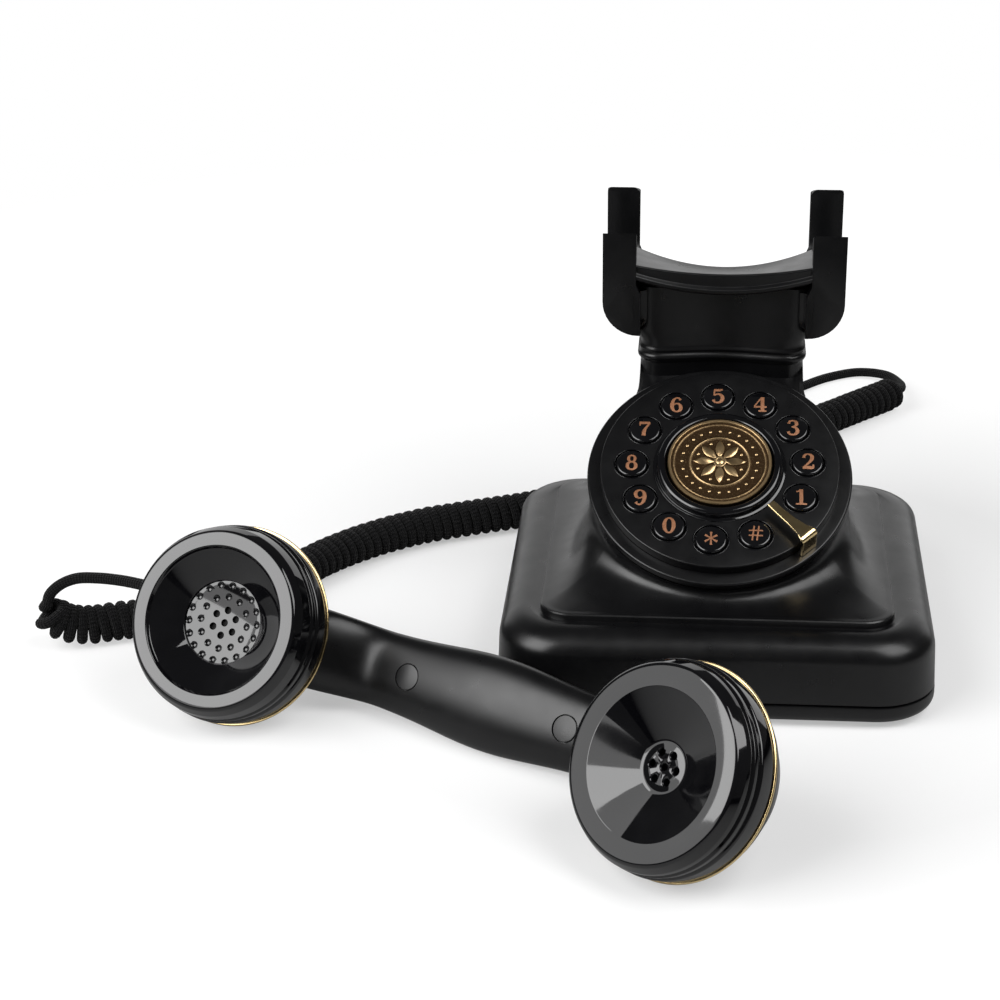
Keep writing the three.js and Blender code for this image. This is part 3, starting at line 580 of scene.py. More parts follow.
HANDSET_LEAD = [
    (-224.2, -27.5, 16.5), (-224, -27.8, 18.6), (-222.4, -28.2, 21.6), (-218.6, -28.5, 25), (-213, -28.8, 27.4),
    (-205.5, -30, 28.3), (-197, -33.4, 29.3), (-189.8, -37.6, 30.2), (-185.3, -40.3, 30.6),
]
COIL_PITCH, COIL_TAPER = 3.85, 5
HELIX_R = COIL_R - CORD_D / 2
CORD_SIDES = 12


def frames_along(line):
    """Two directions square to the line at each of its points, carried along without twist."""
    ahead = np.gradient(line, axis=0)
    ahead /= np.linalg.norm(ahead, axis=1)[:, None]
    side = np.cross(ahead[0], (0, 0, 1))
    sides = []
    for direction in ahead:
        side = side - (side @ direction) * direction
        side /= np.linalg.norm(side)
        sides.append(side)
    sides = np.array(sides)
    return sides, np.cross(ahead, sides)


def cord_line():
    """The middle of the cord: straight leads, and between them a helix wound round the coil's own line."""
    lifted = np.array(BASE_LEAD + COIL + HANDSET_LEAD, float) + (0, 0, FLOOR)
    spine = curve_through(lifted, 1.0)
    spine = evenly(spine, int(np.linalg.norm(np.diff(spine, axis=0), axis=1).sum() / 0.17))
    length = np.concatenate([[0], np.cumsum(np.linalg.norm(np.diff(spine, axis=0), axis=1))])
    ends = [np.array(point) + (0, 0, FLOOR) for point in (COIL[0], COIL[-1])]
    first, last = (length[np.argmin(np.linalg.norm(spine - end, axis=1))] for end in ends)
    wound = smoothstep((length - first) / COIL_TAPER) * smoothstep((last + 2 - length) / COIL_TAPER)
    phase = length / COIL_PITCH * 2 * math.pi
    side, over = frames_along(spine)
    reach = (HELIX_R * wound)[:, None]
    line = spine + reach * (np.cos(phase)[:, None] * side + np.sin(phase)[:, None] * over)
    total = np.linalg.norm(np.diff(line, axis=0), axis=1).sum()
    return evenly(line, int(total / 1.35))


def tube(line, radius, sides):
    """A round tube along a line."""
    side, over = frames_along(line)
    angles = 2 * math.pi * np.arange(sides) / sides
    around = np.cos(angles)[None, :, None] * side[:, None] + np.sin(angles)[None, :, None] * over[:, None]
    return loft(list(line[:, None] + radius * around))


def name_braid(mesh, step, sides):
    """Length and turn along the cord, as the mesh's own flat coordinates."""
    uv = mesh.uv_layers.new(name="braid").data
    for polygon in mesh.polygons:
        corners = list(polygon.vertices)
        if len(corners) != 4:
            continue
        turns = [v % sides for v in corners]
        wraps = max(turns) - min(turns) > 1
        for loop, vertex, turn_index in zip(polygon.loop_indices, corners, turns):
            turned = turn_index + sides if wraps and turn_index == 0 else turn_index
            uv[loop].uv = (step * (vertex // sides), turned / sides)


def cord():
    """The handset's cord, drawn a little thin so that neighbouring turns stay apart."""
    line = cord_line()
    obj = make("handset_cord", tube(line, CORD_D / 2 - 0.06, CORD_SIDES), BRAID, sharp=180)
    name_braid(obj.data, np.linalg.norm(line[1] - line[0]), CORD_SIDES)
    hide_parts("cord_lead_base", "cord_coil", "cord_lead_handset")
    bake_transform(obj)
    path = [tuple(p * MM) for p in line]
    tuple(path[0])


# ---------- base ----------
def rounded_ring(half_x, half_y, corner, z, per=16, centre_y=0, side=10):
    """Rounded rectangle at height z, anticlockwise from the right, with points along its straight sides."""
    ring = []
    for quarter in range(4):
        sx = 1 if quarter in (0, 3) else -1
        sy = 1 if quarter < 2 else -1
        for i in range(per):
            a = math.pi / 2 * (quarter + i / (per - 1))
            x = sx * (half_x - corner) + corner * math.cos(a)
            y = centre_y + sy * (half_y - corner) + corner * math.sin(a)
            ring.append(np.array([x, y, z], float))
    full = []
    for i, point in enumerate(ring):
        full.append(point)
        if i % per == per - 1:
            following = ring[(i + 1) % len(ring)]
            full += [point + (following - point) * k / (side + 1) for k in range(1, side + 1)]
    return full


def crown_point(angle):
    """Where the body meets the dial's underside or, at the back, the pillar under its bead."""
    tilt = math.radians(DIAL_TILT)
    drop = BEZEL_BOTTOM - 0.3
    centre_y = DIAL_CENTRE[1] - math.sin(tilt) * drop
    centre_z = DIAL_CENTRE[2] + math.cos(tilt) * drop
    radius = BEZEL_R - 0.7
    c, s = math.cos(angle), math.sin(angle)
    a, b = radius, radius * math.cos(tilt)
    qa = (c / a) ** 2 + (s / b) ** 2
    qb = -2 * s * centre_y / b**2
    qc = (centre_y / b) ** 2 - 1
    dial_reach = (-qb + math.sqrt(qb * qb - 4 * qa * qc)) / (2 * qa)
    half_x, back = PILLAR_X + 0.1, PILLAR_BACK + 0.1
    pillar_reach = min(half_x / max(abs(c), 1e-6), back / s) if s > 0 else 0.0
    sharpness = 14
    reach = (dial_reach**sharpness + pillar_reach**sharpness) ** (1 / sharpness)
    share = float(smoothstep((pillar_reach / dial_reach - 0.9) / 0.25))
    y = reach * s
    z = centre_z + (y - centre_y) * math.tan(tilt)
    ceiling = BEAD_Z - 1.3
    z = ceiling - math.log1p(math.exp((ceiling - z) / 1.2)) * 1.2 if z < ceiling + 20 else ceiling
    return np.array([reach * c, y, z]), share


def body_rings():
    """From the step's top edge the body sweeps up in a hollow curve to the dial and the pillar."""
    tilt = math.radians(DIAL_TILT)
    dial_axis = np.array([0, -math.sin(tilt), math.cos(tilt)])
    upright = np.array([0, 0, 1.0])
    start_ring = rounded_ring(STEP_X - 1.6, STEP_Y - 1.6, STEP_CORNER - 1.6, STEP_TOP)
    columns = []
    for start in start_ring:
        end, share = crown_point(math.atan2(start[1], start[0]))
        span = np.linalg.norm(end - start)
        inwards = np.array([end[0] - start[0], end[1] - start[1], 0])
        across = np.linalg.norm(inwards)
        inwards /= across
        arrival = dial_axis * (1 - share) + upright * share
        leave = start + inwards * min(BODY_OUT * span, BODY_OVER * across) + upright * BODY_RISE * span
        arrive = end - arrival / np.linalg.norm(arrival) * BODY_ARRIVAL * span
        columns.append((start, leave, arrive, end))
    rings = []
    for k in range(BODY_STEPS + 1):
        t = k / BODY_STEPS
        weights = ((1 - t) ** 3, 3 * t * (1 - t) ** 2, 3 * t * t * (1 - t), t**3)
        rings.append([sum(w * point for w, point in zip(weights, column)) for column in columns])
    return rings


def socket_cutter(top):
    """Opening for the line socket in the rear wall."""
    low, left, right = SOCKET_BOTTOM, SOCKET_LEFT, SOCKET_RIGHT
    return extrusion([(left, low), (right, low), (right, top), (left, top)], 56, 75, seen_from_front)


def housing():
    """Plinth with its rounded shoulder, the step on it and the body that rises from the step, in one shell."""
    wall = [(0.6, SEAM + 0.2), (0.1, SEAM + 0.5), (0.5, WALL_TOP - 2)]
    for k in range(13):
        a = math.pi / 2 * k / 12
        rise = (PLINTH_TOP - WALL_TOP) * math.sin(a)
        wall.append((0.6 + SHOULDER_ROUND * (1 - math.cos(a)), WALL_TOP + rise))
    rings = [rounded_ring(BASE_X - d, BASE_Y - d, BASE_CORNER - 0.4 * d, z) for d, z in wall]
    step = [(2.2, 0), (0.9, -0.375), (0.15, -0.225), (0, 0.3), (0, 1.1), (-0.12, 1.65), (-0.5, 2), (-1, 2.1)]
    for outset, rise in step:
        rings.append(rounded_ring(STEP_X + outset, STEP_Y + outset, STEP_CORNER + outset, PLINTH_TOP + rise))
    rings += body_rings()
    rings.append([np.array([0, -10, 40.0])] * len(rings[0]))
    obj = make("housing_body", loft(rings), SATIN, sharp=30)
    relief_hole = moved(rod(6, 50, 80, 48), shift(-30, 0, 12.5) @ turn("X", -90))
    cut(obj, socket_cutter(18), relief_hole, sharp=30)
    finished(obj, "base", "satin_black", "housing")


def base_pan():
    """Shallow pan under the housing, with a round lower edge and a fine shadow gap at the seam."""
    rings = [rounded_ring(38, 36, 4, 0), rounded_ring(38, 36, 4, PAN_FLOOR)]
    outline = []
    for k in range(9):
        a = math.pi / 2 * k / 8
        inset = PAN_ROUND * (1 - math.sin(a))
        z = PAN_FLOOR + PAN_ROUND * (1 - math.cos(a))
        outline.append((inset, z))
    outline += [(0, SEAM - 0.6), (0.1, SEAM - 0.35), (0.5, SEAM - 0.2), (PAN_LIP, SEAM - 0.15), (PAN_LIP, SEAM + 0.6)]
    rings += [rounded_ring(BASE_X - inset, BASE_Y - inset, BASE_CORNER - inset, z) for inset, z in outline]
    obj = make("base_pan_shell", loft(rings), SATIN, sharp=30)
    cut(obj, socket_cutter(9), sharp=30)
    finished(obj, "base", "satin_black", "base_pan")


def pillar_ring(grow, z, front=PILLAR_FRONT):
    """Section of the pillar: rounded corners, with a hollow front and back."""
    half_y, middle = (PILLAR_BACK - front) / 2, (PILLAR_BACK + front) / 2
    corner = PILLAR_CORNER + grow
    ring = rounded_ring(PILLAR_X + grow, half_y + grow, corner, z, per=12, centre_y=middle, side=30)
    for point in ring:
        across = abs(point[0]) / (PILLAR_X - PILLAR_CORNER + grow)
        if across < 1:
            dish = PILLAR_DISH * math.cos(math.pi / 2 * across) ** 1.5
            point[1] -= math.copysign(dish, point[1] - middle)
    return ring


def pillar():
    """Pillar between body and cradle, with the bead and the fine ledge round it."""
    rings = [pillar_ring(0, 62, 19), pillar_ring(0, 77.5, 19), pillar_ring(0, 81)]
    profile = [
        (0, 85.4), (0.1, 86.1), (0.55, 86.5), (0.95, 87.1), (1.05, 87.8), (0.85, 88.5), (0.35, 88.95),
        (0.12, 89.1), (0.1, 89.5), (0.4, 89.9), (0.45, 90.3), (0.1, 90.8), (0, 91.6),
    ]
    rings += [pillar_ring(grow, z) for grow, z in profile]
    for z in (92.5, 93.5, 94.5, 95.5, 96.5, 97.5, 112.5):
        flare = 1 + FLARE * float(smoothstep((z - FLARE_FROM) / FLARE_OVER))
        rings.append([point * (flare, 1, 1) for point in pillar_ring(0, z)])
    finished(make("pillar", loft(rings), SATIN, sharp=50), "base", "satin_black")


# ---------- cradle ----------
def fork(side):
    """One U-shaped fork: its front outline and its side outline, and what both have in common."""
    front = filleted([
        (side * (FORK_INNER - FORK_ROOT), FORK_BOTTOM, 0), (side * FORK_OUTER, FORK_BOTTOM, FORK_CORNER),
        (side * FORK_OUTER, PRONG_REAR_TOP, 1.6), (side * FORK_INNER, PRONG_REAR_TOP, 2.6),
        (side * FORK_INNER, FORK_FLOOR, 0), (side * (FORK_INNER - FORK_ROOT), FORK_FLOOR - 4, 0),
    ], 10)
    flank = filleted([
        (PRONG_FRONT, 90, 0), (PRONG_REAR_BACK, 90, 0), (PRONG_REAR_BACK, PRONG_REAR_TOP - PRONG_FALL, 0),
        (PRONG_REAR, PRONG_REAR_TOP, 0), (PRONG_REAR, FORK_FLOOR, 5), (PRONG_FRONT_BACK, FORK_FLOOR, 5),
        (PRONG_FRONT_BACK, PRONG_FRONT_TOP - PRONG_FALL, 0), (PRONG_FRONT, PRONG_FRONT_TOP, 0),
    ], 8)
    name = "fork_left" if side < 0 else "fork_right"
    obj = make(name, extrusion(front, PRONG_FRONT, PRONG_REAR_BACK, seen_from_front), SATIN)
    cut(obj, extrusion(flank, 20, 50, lambda a, b, c: (side * c, a, b)), operation="INTERSECT")
    pin_hole = moved(rod(HOOK_R + 0.4, 110, 120, 32), shift(side * HOOK_X, HOOK_Y, 0))
    bevelled(obj, 0.45)
    cut(obj, pin_hole, sharp=40)
    finished(obj, "base", "satin_black", "cradle")


def web(side):
    """Hollow fillet between the pillar's front and a fork, which runs out under the fork."""
    rings = []
    for k in range(13):
        z = FORK_BOTTOM + 1.2 * k
        reach = 0.5 + 5 * float(smoothstep((z - FORK_BOTTOM + 1) / 6))
        x, y = FORK_INNER + 0.6, PILLAR_FRONT + 0.4
        angles = np.linspace(0, math.pi / 2, 9)
        arc = [(x - reach * (1 - math.sin(a)), y - reach * (1 - math.cos(a))) for a in angles]
        outline = arc + [(x, y + 3), (x - reach, y + 3)]
        rings.append([np.array([side * a, b, z]) for a, b in outline])
    name = "web_left" if side < 0 else "web_right"
    finished(make(name, loft(rings), SATIN, sharp=50), "base", "satin_black")


def saddle():
    """Curved rest between the forks: a hollow top that deepens rearwards, a plain band and a rolled lip."""
    half = FORK_INNER + 0.8
    rings = []
    for k in range(61):
        t = 2 * k / 60 - 1
        bow = t * t
        top_front = 118.8 + 2.7 * bow
        top_rear = 111.9 + 6.8 * bow
        lip = 112.1 + 4.7 * bow
        outline = filleted([
            (52, 110.4, 0), (52, top_rear, 0.6), (23.2, top_front, 0.7), (23.9, lip + 2.1, 0.6),
            (22.3, lip + 1.2, 0.7), (22.6, lip - 0.4, 0.8), (31, lip - 1.6, 0), (31, 108.5, 0), (50, 108.5, 0),
        ], 6)
        rings.append([np.array([half * t, y, z]) for y, z in outline])
    finished(make("saddle", loft(rings), SATIN, sharp=38), "base", "satin_black")


def hook_plungers():
    """The two plungers that the handset pushes down, on the bar that joins them."""
    pins = []
    for side in (-1, 1):
        outline = filleted([(0, HOOK_BAR_Z, 0), (HOOK_R, HOOK_BAR_Z, 0), (HOOK_R, 118.8, 1.1), (0, 119, 0)], 8)
        pins.append(moved(lathe(outline, 40), shift(side * HOOK_X, HOOK_Y, 0)))
    corners = [(-36, HOOK_BAR_Z), (36, HOOK_BAR_Z), (36, HOOK_BAR_Z + 4), (-36, HOOK_BAR_Z + 4)]
    bar = extrusion(corners, 37, 43, seen_from_front)
    finished(make("hook_plungers", merged(bar, *pins), GLOSS), "hook", "gloss_black", "hook_yoke")


# ---------- dial ----------
def bezel():
    """Satin ring under the plate's edge."""
    outline = filleted([
        (BEZEL_INNER, BEZEL_BOTTOM, 0), (BEZEL_R - 0.8, BEZEL_BOTTOM, 0.6), (BEZEL_R, BEZEL_BOTTOM + 1.6, 0.8),
        (BEZEL_R, BEZEL_TOP, 0.7), (BEZEL_INNER, BEZEL_TOP, 0),
    ])
    ring = make("bezel", lathe(outline, 160, closed=True), SATIN, DIAL)
    finished(ring, "base", "satin_black", "dial_bezel")


def plate():
    """Raised plate with a crisp edge, twelve wells with round rims and the opening for the centre button."""
    outline = filleted([(0, PLATE_BOTTOM, 0), (PLATE_R, PLATE_BOTTOM, 0), (PLATE_R, 0, 0.45), (0, 0, 0)])
    obj = make("keypad_plate", lathe(outline, 160), SATIN, DIAL)
    cuts = [moved(rod(WELL_R, -9, 9, 64), key_place(i)) for i in range(12)]
    cuts.append(moved(rod(HUB_INNER + 0.1, -9, 9, 96), DIAL))
    cut(obj, merged(*cuts))
    finished(obj, "base", "satin_black", "dial_plate")
    rim = filleted([
        (WELL_R, -1.5, 0), (WELL_R, 0.16, 0.12), (WELL_R + 0.4, 0.16, 0.15), (WELL_R + 0.6, -0.3, 0),
    ], 5)
    rims = merged(*[moved(lathe(rim, 64, closed=True), key_place(i)) for i in range(12)])
    finished(make("key_rims", rims, GLOSS), "base", "gloss_black")


def key_height(r):
    """Height of a key's domed face at a distance from its middle."""
    return CAP_TOP - 0.55 * (r / CAP_R) ** 2


def key(index):
    """A key: a flange under the plate, a straight side, a round edge and a domed face."""
    outline = [(0, -4.9), (WELL_R + 0.8, -4.9), (WELL_R + 0.8, -3.75), (CAP_R, -3.75), (CAP_R, CAP_EDGE_Z)]
    inner = CAP_R - CAP_ROUND
    rise = key_height(inner) - CAP_EDGE_Z
    for a in np.linspace(0.2, 1.45, 8):
        outline.append((inner + CAP_ROUND * math.cos(a), CAP_EDGE_Z + rise * math.sin(a)))
    outline += [(r, key_height(r)) for r in np.linspace(CAP_R - 0.95, 0, 10)]
    name = KEY_NAMES[index]
    obj = make(f"cap_{name}", lathe(outline, 64), GLOSS, key_place(index))
    finished(obj, f"key_{name}", "gloss_black", f"key_{name}")


# Numerals as brush strokes of (x, y, width), in heights of a numeral, with y up from its foot
def round_stroke(x, y, half_x, half_y, thick, thin):
    """A closed stroke round an ellipse, thick at its sides and thin at its top and foot."""
    stroke = []
    for k in range(21):
        c, s = math.cos(2 * math.pi * k / 20), math.sin(2 * math.pi * k / 20)
        stroke.append((x + half_x * c, y + half_y * s, thin + (thick - thin) * c**2))
    return stroke


def star_stroke(angle):
    """One bar of the star, through its middle."""
    across, up = 0.36 * math.sin(angle), 0.4 * math.cos(angle)
    return [(0.36 - across, 0.5 - up, 0.13), (0.36, 0.5, 0.06), (0.36 + across, 0.5 + up, 0.13)]


SIX = [
    (0.57, 0.79, 0.15), (0.5, 0.91, 0.1), (0.37, 0.94, 0.09), (0.22, 0.8, 0.15), (0.14, 0.5, 0.2),
    (0.17, 0.22, 0.17), (0.29, 0.07, 0.1), (0.41, 0.05, 0.09), (0.56, 0.14, 0.16), (0.6, 0.31, 0.19),
    (0.54, 0.48, 0.15), (0.41, 0.56, 0.09), (0.27, 0.5, 0.08), (0.18, 0.4, 0.07),
]
STROKES = {
    "0": [round_stroke(0.36, 0.5, 0.24, 0.45, 0.2, 0.09)],
    "1": [[(0.38, 0.05, 0.19), (0.38, 0.95, 0.19)], [(0.36, 0.93, 0.09), (0.24, 0.83, 0.09), (0.12, 0.8, 0.09)],
        [(0.1, 0.045, 0.09), (0.66, 0.045, 0.09)]],
    "2": [[(0.15, 0.7, 0.17), (0.19, 0.87, 0.12), (0.36, 0.955, 0.09), (0.55, 0.86, 0.17), (0.58, 0.7, 0.19),
        (0.5, 0.5, 0.15), (0.3, 0.27, 0.1), (0.11, 0.07, 0.08)],
        [(0.1, 0.09, 0.16), (0.4, 0.1, 0.18), (0.6, 0.1, 0.16), (0.65, 0.28, 0.07)]],
    "3": [[(0.14, 0.75, 0.16), (0.2, 0.9, 0.11), (0.36, 0.955, 0.09), (0.53, 0.86, 0.16), (0.55, 0.72, 0.18),
        (0.46, 0.58, 0.11), (0.3, 0.53, 0.08)],
        [(0.3, 0.53, 0.08), (0.5, 0.48, 0.13), (0.6, 0.29, 0.2), (0.53, 0.12, 0.16), (0.36, 0.045, 0.09),
        (0.18, 0.1, 0.11), (0.12, 0.24, 0.17)]],
    "4": [[(0.48, 0.05, 0.19), (0.48, 0.95, 0.19)], [(0.44, 0.93, 0.08), (0.06, 0.33, 0.08)],
        [(0.04, 0.3, 0.1), (0.7, 0.3, 0.1)], [(0.26, 0.045, 0.09), (0.68, 0.045, 0.09)]],
    "5": [[(0.17, 0.87, 0.15), (0.4, 0.85, 0.15), (0.6, 0.92, 0.08)], [(0.18, 0.92, 0.08), (0.15, 0.5, 0.08)],
        [(0.15, 0.5, 0.07), (0.34, 0.6, 0.1), (0.54, 0.51, 0.17), (0.6, 0.32, 0.2), (0.52, 0.13, 0.16),
        (0.34, 0.045, 0.09), (0.17, 0.1, 0.11), (0.12, 0.23, 0.16)]],
    "6": [SIX],
    "7": [[(0.1, 0.87, 0.16), (0.62, 0.88, 0.16)], [(0.1, 0.94, 0.07), (0.1, 0.68, 0.07)],
        [(0.61, 0.86, 0.09), (0.42, 0.55, 0.13), (0.32, 0.3, 0.19), (0.3, 0.05, 0.21)]],
    "8": [round_stroke(0.36, 0.73, 0.17, 0.21, 0.15, 0.09), round_stroke(0.36, 0.28, 0.22, 0.235, 0.18, 0.09)],
    "9": [[(0.72 - x, 1 - y, width) for x, y, width in SIX]],
    "star": [star_stroke(angle) for angle in (0, math.pi / 3, -math.pi / 3)],
    "hash": [[(0.2 + x, 0.06, 0.08), (0.3 + x, 0.94, 0.08)] for x in (0, 0.24)]
        + [[(0.02, y, 0.08), (0.74, y, 0.08)] for y in (0.35, 0.65)],
}
NUMERAL_HEIGHT = 6.3


def ribbon(stroke, height_at, lift, thickness=0.05):
    """A flat stroke with a varying width, laid on a surface."""
    line = np.array(stroke, float)
    if len(line) > 2:
        line = curve_through(line, 0.03)
    else:
        line = evenly(line, 12)
    ahead = np.gradient(line[:, :2], axis=0)
    ahead /= np.linalg.norm(ahead, axis=1)[:, None]
    across = np.stack([-ahead[:, 1], ahead[:, 0]], 1) * line[:, 2:3] / 2
    rings = []
    for point, offset in zip(line[:, :2], across):
        ring = []
        for share, level in ((-1, 0), (-0.5, 1), (0, 1), (0.5, 1), (1, 1), (1, 0), (0, 0), (-1, 0)):
            x, y = (point + offset * share - (0.36, 0.5)) * NUMERAL_HEIGHT
            ring.append((x, y, height_at(math.hypot(x, y)) + lift + (thickness if level else -0.05)))
        ring[0] = (*ring[0][:2], ring[0][2] + thickness + 0.05)
        rings.append(ring)
    return loft(rings)


def numeral(index):
    """A key's numeral or sign, each stroke a hair above the one before it."""
    name = KEY_NAMES[index]
    strokes = [ribbon(stroke, key_height, 0.004 * i) for i, stroke in enumerate(STROKES[name])]
    finished(make(f"numeral_{name}", merged(*strokes), COPPER, key_place(index), 50), f"key_{name}", None)


def hub():
    """Glossy ring round the centre button."""
    outline = filleted([
        (HUB_INNER, 0.1, 0), (HUB_OUTER + 1.1, 0.1, 0), (HUB_OUTER + 0.9, 0.45, 0.2),
        (HUB_OUTER + 0.1, 0.6, 0.3), (HUB_OUTER - 0.3, HUB_TOP, 1.5), (HUB_INNER, HUB_TOP - 0.1, 0.9),
    ])
    finished(make("hub", lathe(outline, 128, closed=True), GLOSS, DIAL), "base", "gloss_black", "hub_ring")


def finger_stop():
    """Gold blade that widens outwards and folds down over the plate's edge."""
    path = [
        (STOP_TIP, 4.35), (28, 4.1), (33, 4.2), (37.5, 4.55), (39.8, 4.6), (40.6, 4.35), (41, 3.6), (41, 1),
        (41, -3.4),
    ]
    widths = [2.5, 2.8, 3.2, 4.4, 6.0, 6.3, 6.3, 6.3, 6.3]
    line = curve_through([(r, 0, z) for r, z in path], 0.25)
    lengths = np.concatenate([[0], np.cumsum(np.linalg.norm(np.diff(np.array(path), axis=0), axis=1))])
    along = np.concatenate([[0], np.cumsum(np.linalg.norm(np.diff(line, axis=0), axis=1))])
    width = np.interp(along * lengths[-1] / along[-1], lengths, widths)
    ahead = np.gradient(line, axis=0)
    ahead /= np.linalg.norm(ahead, axis=1)[:, None]
    above = np.cross((0, 1, 0), ahead)
    section = filleted([(-0.5, -0.5, 0.1), (0.5, -0.5, 0.1), (0.5, 0.5, 0.3), (-0.5, 0.5, 0.3)], 4)
    rings = []
    for point, up, wide in zip(line, above, width):
        ring = []
        for a, b in section:
            taper = 1 if b < 0.2 else 0.94
            ring.append(point + np.array([0, a * wide * taper, 0]) + up * b * STOP_THICKNESS)
        rings.append(ring)
    obj = make("finger_rest", loft(rings), GOLD, DIAL @ turn("Z", STOP_ANGLE), 30)
    finished(obj, "base", "gold", "finger_stop")


def relief(r):
    """Height of the centre button's rings and rim over its face, at a distance from its middle."""
    bead_ring = 0.32 * np.exp(-(((r - 9.6) / 0.32) ** 2)) + 0.2 * np.exp(-(((r - 14.9) / 0.25) ** 2))
    rim = 0.5 * smoothstep((r - 15.7) / 0.35) * (1 - smoothstep((r - 16.7) / 0.3))
    return bead_ring + rim


def medallion():
    """Brass centre button: raised rim, two fine rings and a plain ornament."""
    spans = [(0, 9, 24), (9.1, 10.2, 14), (10.5, 14.4, 10), (14.5, MEDALLION_R, 36)]
    radii = np.concatenate([np.linspace(*span) for span in spans])
    face = [(float(r), MEDALLION_FACE + float(relief(r))) for r in radii]
    outline = [(0, -6.5), (3, -6.5), (3, -3), (MEDALLION_R - 0.6, -3), (MEDALLION_R, 2.6)] + face[::-1]
    parts = [lathe(outline, 128)] + rosette() + beads(24, 12.25)
    obj = make("centre_button", merged(*parts), BRASS, DIAL, 40)
    local = DIAL.inverted()
    worn = obj.data.attributes.new("worn", "FLOAT", "POINT")
    heights = [(local @ (v.co / MM)).z for v in obj.data.vertices]
    worn.data.foreach_set("value", [float(np.clip((h - MEDALLION_FACE) / 0.42, 0, 1)) for h in heights])
    finished(obj, "rocker", "antique_brass", "redial_recall_rocker")


def raised(outline, height, bevel=0.18):
    """A flat shape raised over the face, with sloping sides."""
    points = np.array(outline, float)
    centre = points.mean(axis=0)
    inner = centre + (points - centre) * (1 - bevel / np.abs(points - centre).max())
    levels = [(points, -0.1), (points, height - 0.08), (inner, height)]
    return loft([[(x, y, MEDALLION_FACE + rise) for x, y in ring] for ring, rise in levels])


def leaf(angle, near, far, width):
    """Outline of a pointed leaf that lies outwards from the middle."""
    shares = np.linspace(0, 1, 11)
    edge = [(near + (far - near) * t, width / 2 * math.sin(math.pi * t)) for t in shares]
    outline = edge + [(r, -half) for r, half in edge[-2:0:-1]]
    c, s = math.cos(angle), math.sin(angle)
    return [(r * c - half * s, r * s + half * c) for r, half in outline]


def rosette():
    """Plain ornament in the middle of the button: leaves round a turned boss, with beads between them."""
    boss = lathe([(0, -0.1), (2.1, -0.1), (2.1, 0.4), (1.7, 0.52), (1.2, 0.4), (0.8, 0.6), (0, 0.7)], 40)
    parts = [moved(boss, shift(0, 0, MEDALLION_FACE))]
    for k in range(LEAVES):
        angle = 2 * math.pi * k / LEAVES
        parts.append(raised(leaf(angle, 1.6, 8.5, 2.9), 0.45))
        parts += beads(1, 7.6, angle + math.pi / LEAVES)
    return parts


def beads(count, ring_r, phase=0.0):
    """Round beads, evenly spaced on a ring on the button's face."""
    bead = [(0, -0.1), (0.55, -0.1), (0.5, 0.2), (0.3, 0.36), (0, 0.42)]
    return copies(bead, count, ring_r, phase, MEDALLION_FACE)


# ---------- handset ----------
def handle_at(u):
    """Half width, depths to the front and rear and middle of the handle, at u along it."""
    swell = math.exp(-((u / 26) ** 2))
    flare = float(smoothstep((min(abs(u) / HANDLE_HALF, 1) - 0.62) / 0.38))
    middle = HANDLE_MIDDLE + 12 * flare**1.3
    return 12 + 3.1 * swell + 1.2 * flare, 5.4 + 1.6 * swell + 1.5 * flare, 7.6 + 0.4 * swell + flare, middle


def handle():
    """Grip that swells at its middle and curves up into the two cups, with a recess for each screw plug."""
    rings = []
    reach = HALF_SPAN + HANDLE_OVERRUN
    for k in range(121):
        u = reach * math.sin(math.pi / 2 * (2 * k / 120 - 1))
        wide, front, rear, middle = handle_at(u)
        past = max(abs(u) - HANDLE_CLOSES, 0) / (reach - HANDLE_CLOSES)
        end = math.sqrt(max(1 - past**2.6, 0.0004))
        ring = []
        for i in range(HANDLE_SIDES):
            a = 2 * math.pi * i / HANDLE_SIDES
            c, s = math.cos(a), math.sin(a)
            depth = front if s > 0 else rear
            x = wide * math.copysign(abs(c) ** (2 / HANDLE_FULLNESS), c)
            y = depth * math.copysign(abs(s) ** (2 / HANDLE_FULLNESS), s)
            ring.append((u, x * end, middle + y * end))
        rings.append(ring)
    obj = make("grip", loft(rings), SATIN, HANDSET, 60)
    recess = rod(PLUG_R + 0.22, HANDLE_MIDDLE + 4.6, 0, 64)
    cut(obj, merged(*[moved(recess, HANDSET @ shift(side * PLUG_U, 0, 0)) for side in (-1, 1)]), sharp=45)
    finished(obj, "handset", "satin_black", "handle_front_shell", "handle_rear_shell")
    top = HANDLE_MIDDLE + handle_at(PLUG_U)[1] + 0.1
    for side, name in ((-1, "mouth"), (1, "ear")):
        outline = filleted([(0, top - 1.6, 0), (PLUG_R, top - 1.6, 0), (PLUG_R, top - 0.1, 0.3), (0, top, 0)])
        plug = make(f"plug_{name}", lathe(outline, 64), SATIN, HANDSET @ shift(side * PLUG_U, 0, 0))
        finished(plug, "handset", "satin_black", f"handle_plug_{name}")


def cup_parts(name, place):
    """Domed back of a cup and the thin gold ring round its rim."""
    corners = [(r, 0, z) for r, z in dome_outline(DOME_R - 0.25, DOME_DEPTH - 0.1)]
    dome = [(r, z) for r, _, z in curve_through(corners, 0.8)]
    dome[-1] = (0, dome[-1][1])
    inside = [(0, -16), (DOME_R - 9, -9), (DOME_R - 3, -2), (DOME_R - 2, -0.4), (DOME_R - 0.4, -0.4)]
    obj = make(f"{name}_back", lathe(dome + inside, 128), SATIN, place, 40)
    finished(obj, "handset", "satin_black", f"{name}_cup")
    half, outer = RING_SECTION / 2, RING_R + 0.15
    outline = [(RING_INNER, -half, 0), (outer, -half, 0.35), (outer, half, 0.35), (RING_INNER, half, 0)]
    ring = make(f"{name}_gold_ring", lathe(filleted(outline, 5), 160, closed=True), GOLD, place)
    finished(ring, "handset", "gold", f"{name}_trim_ring")


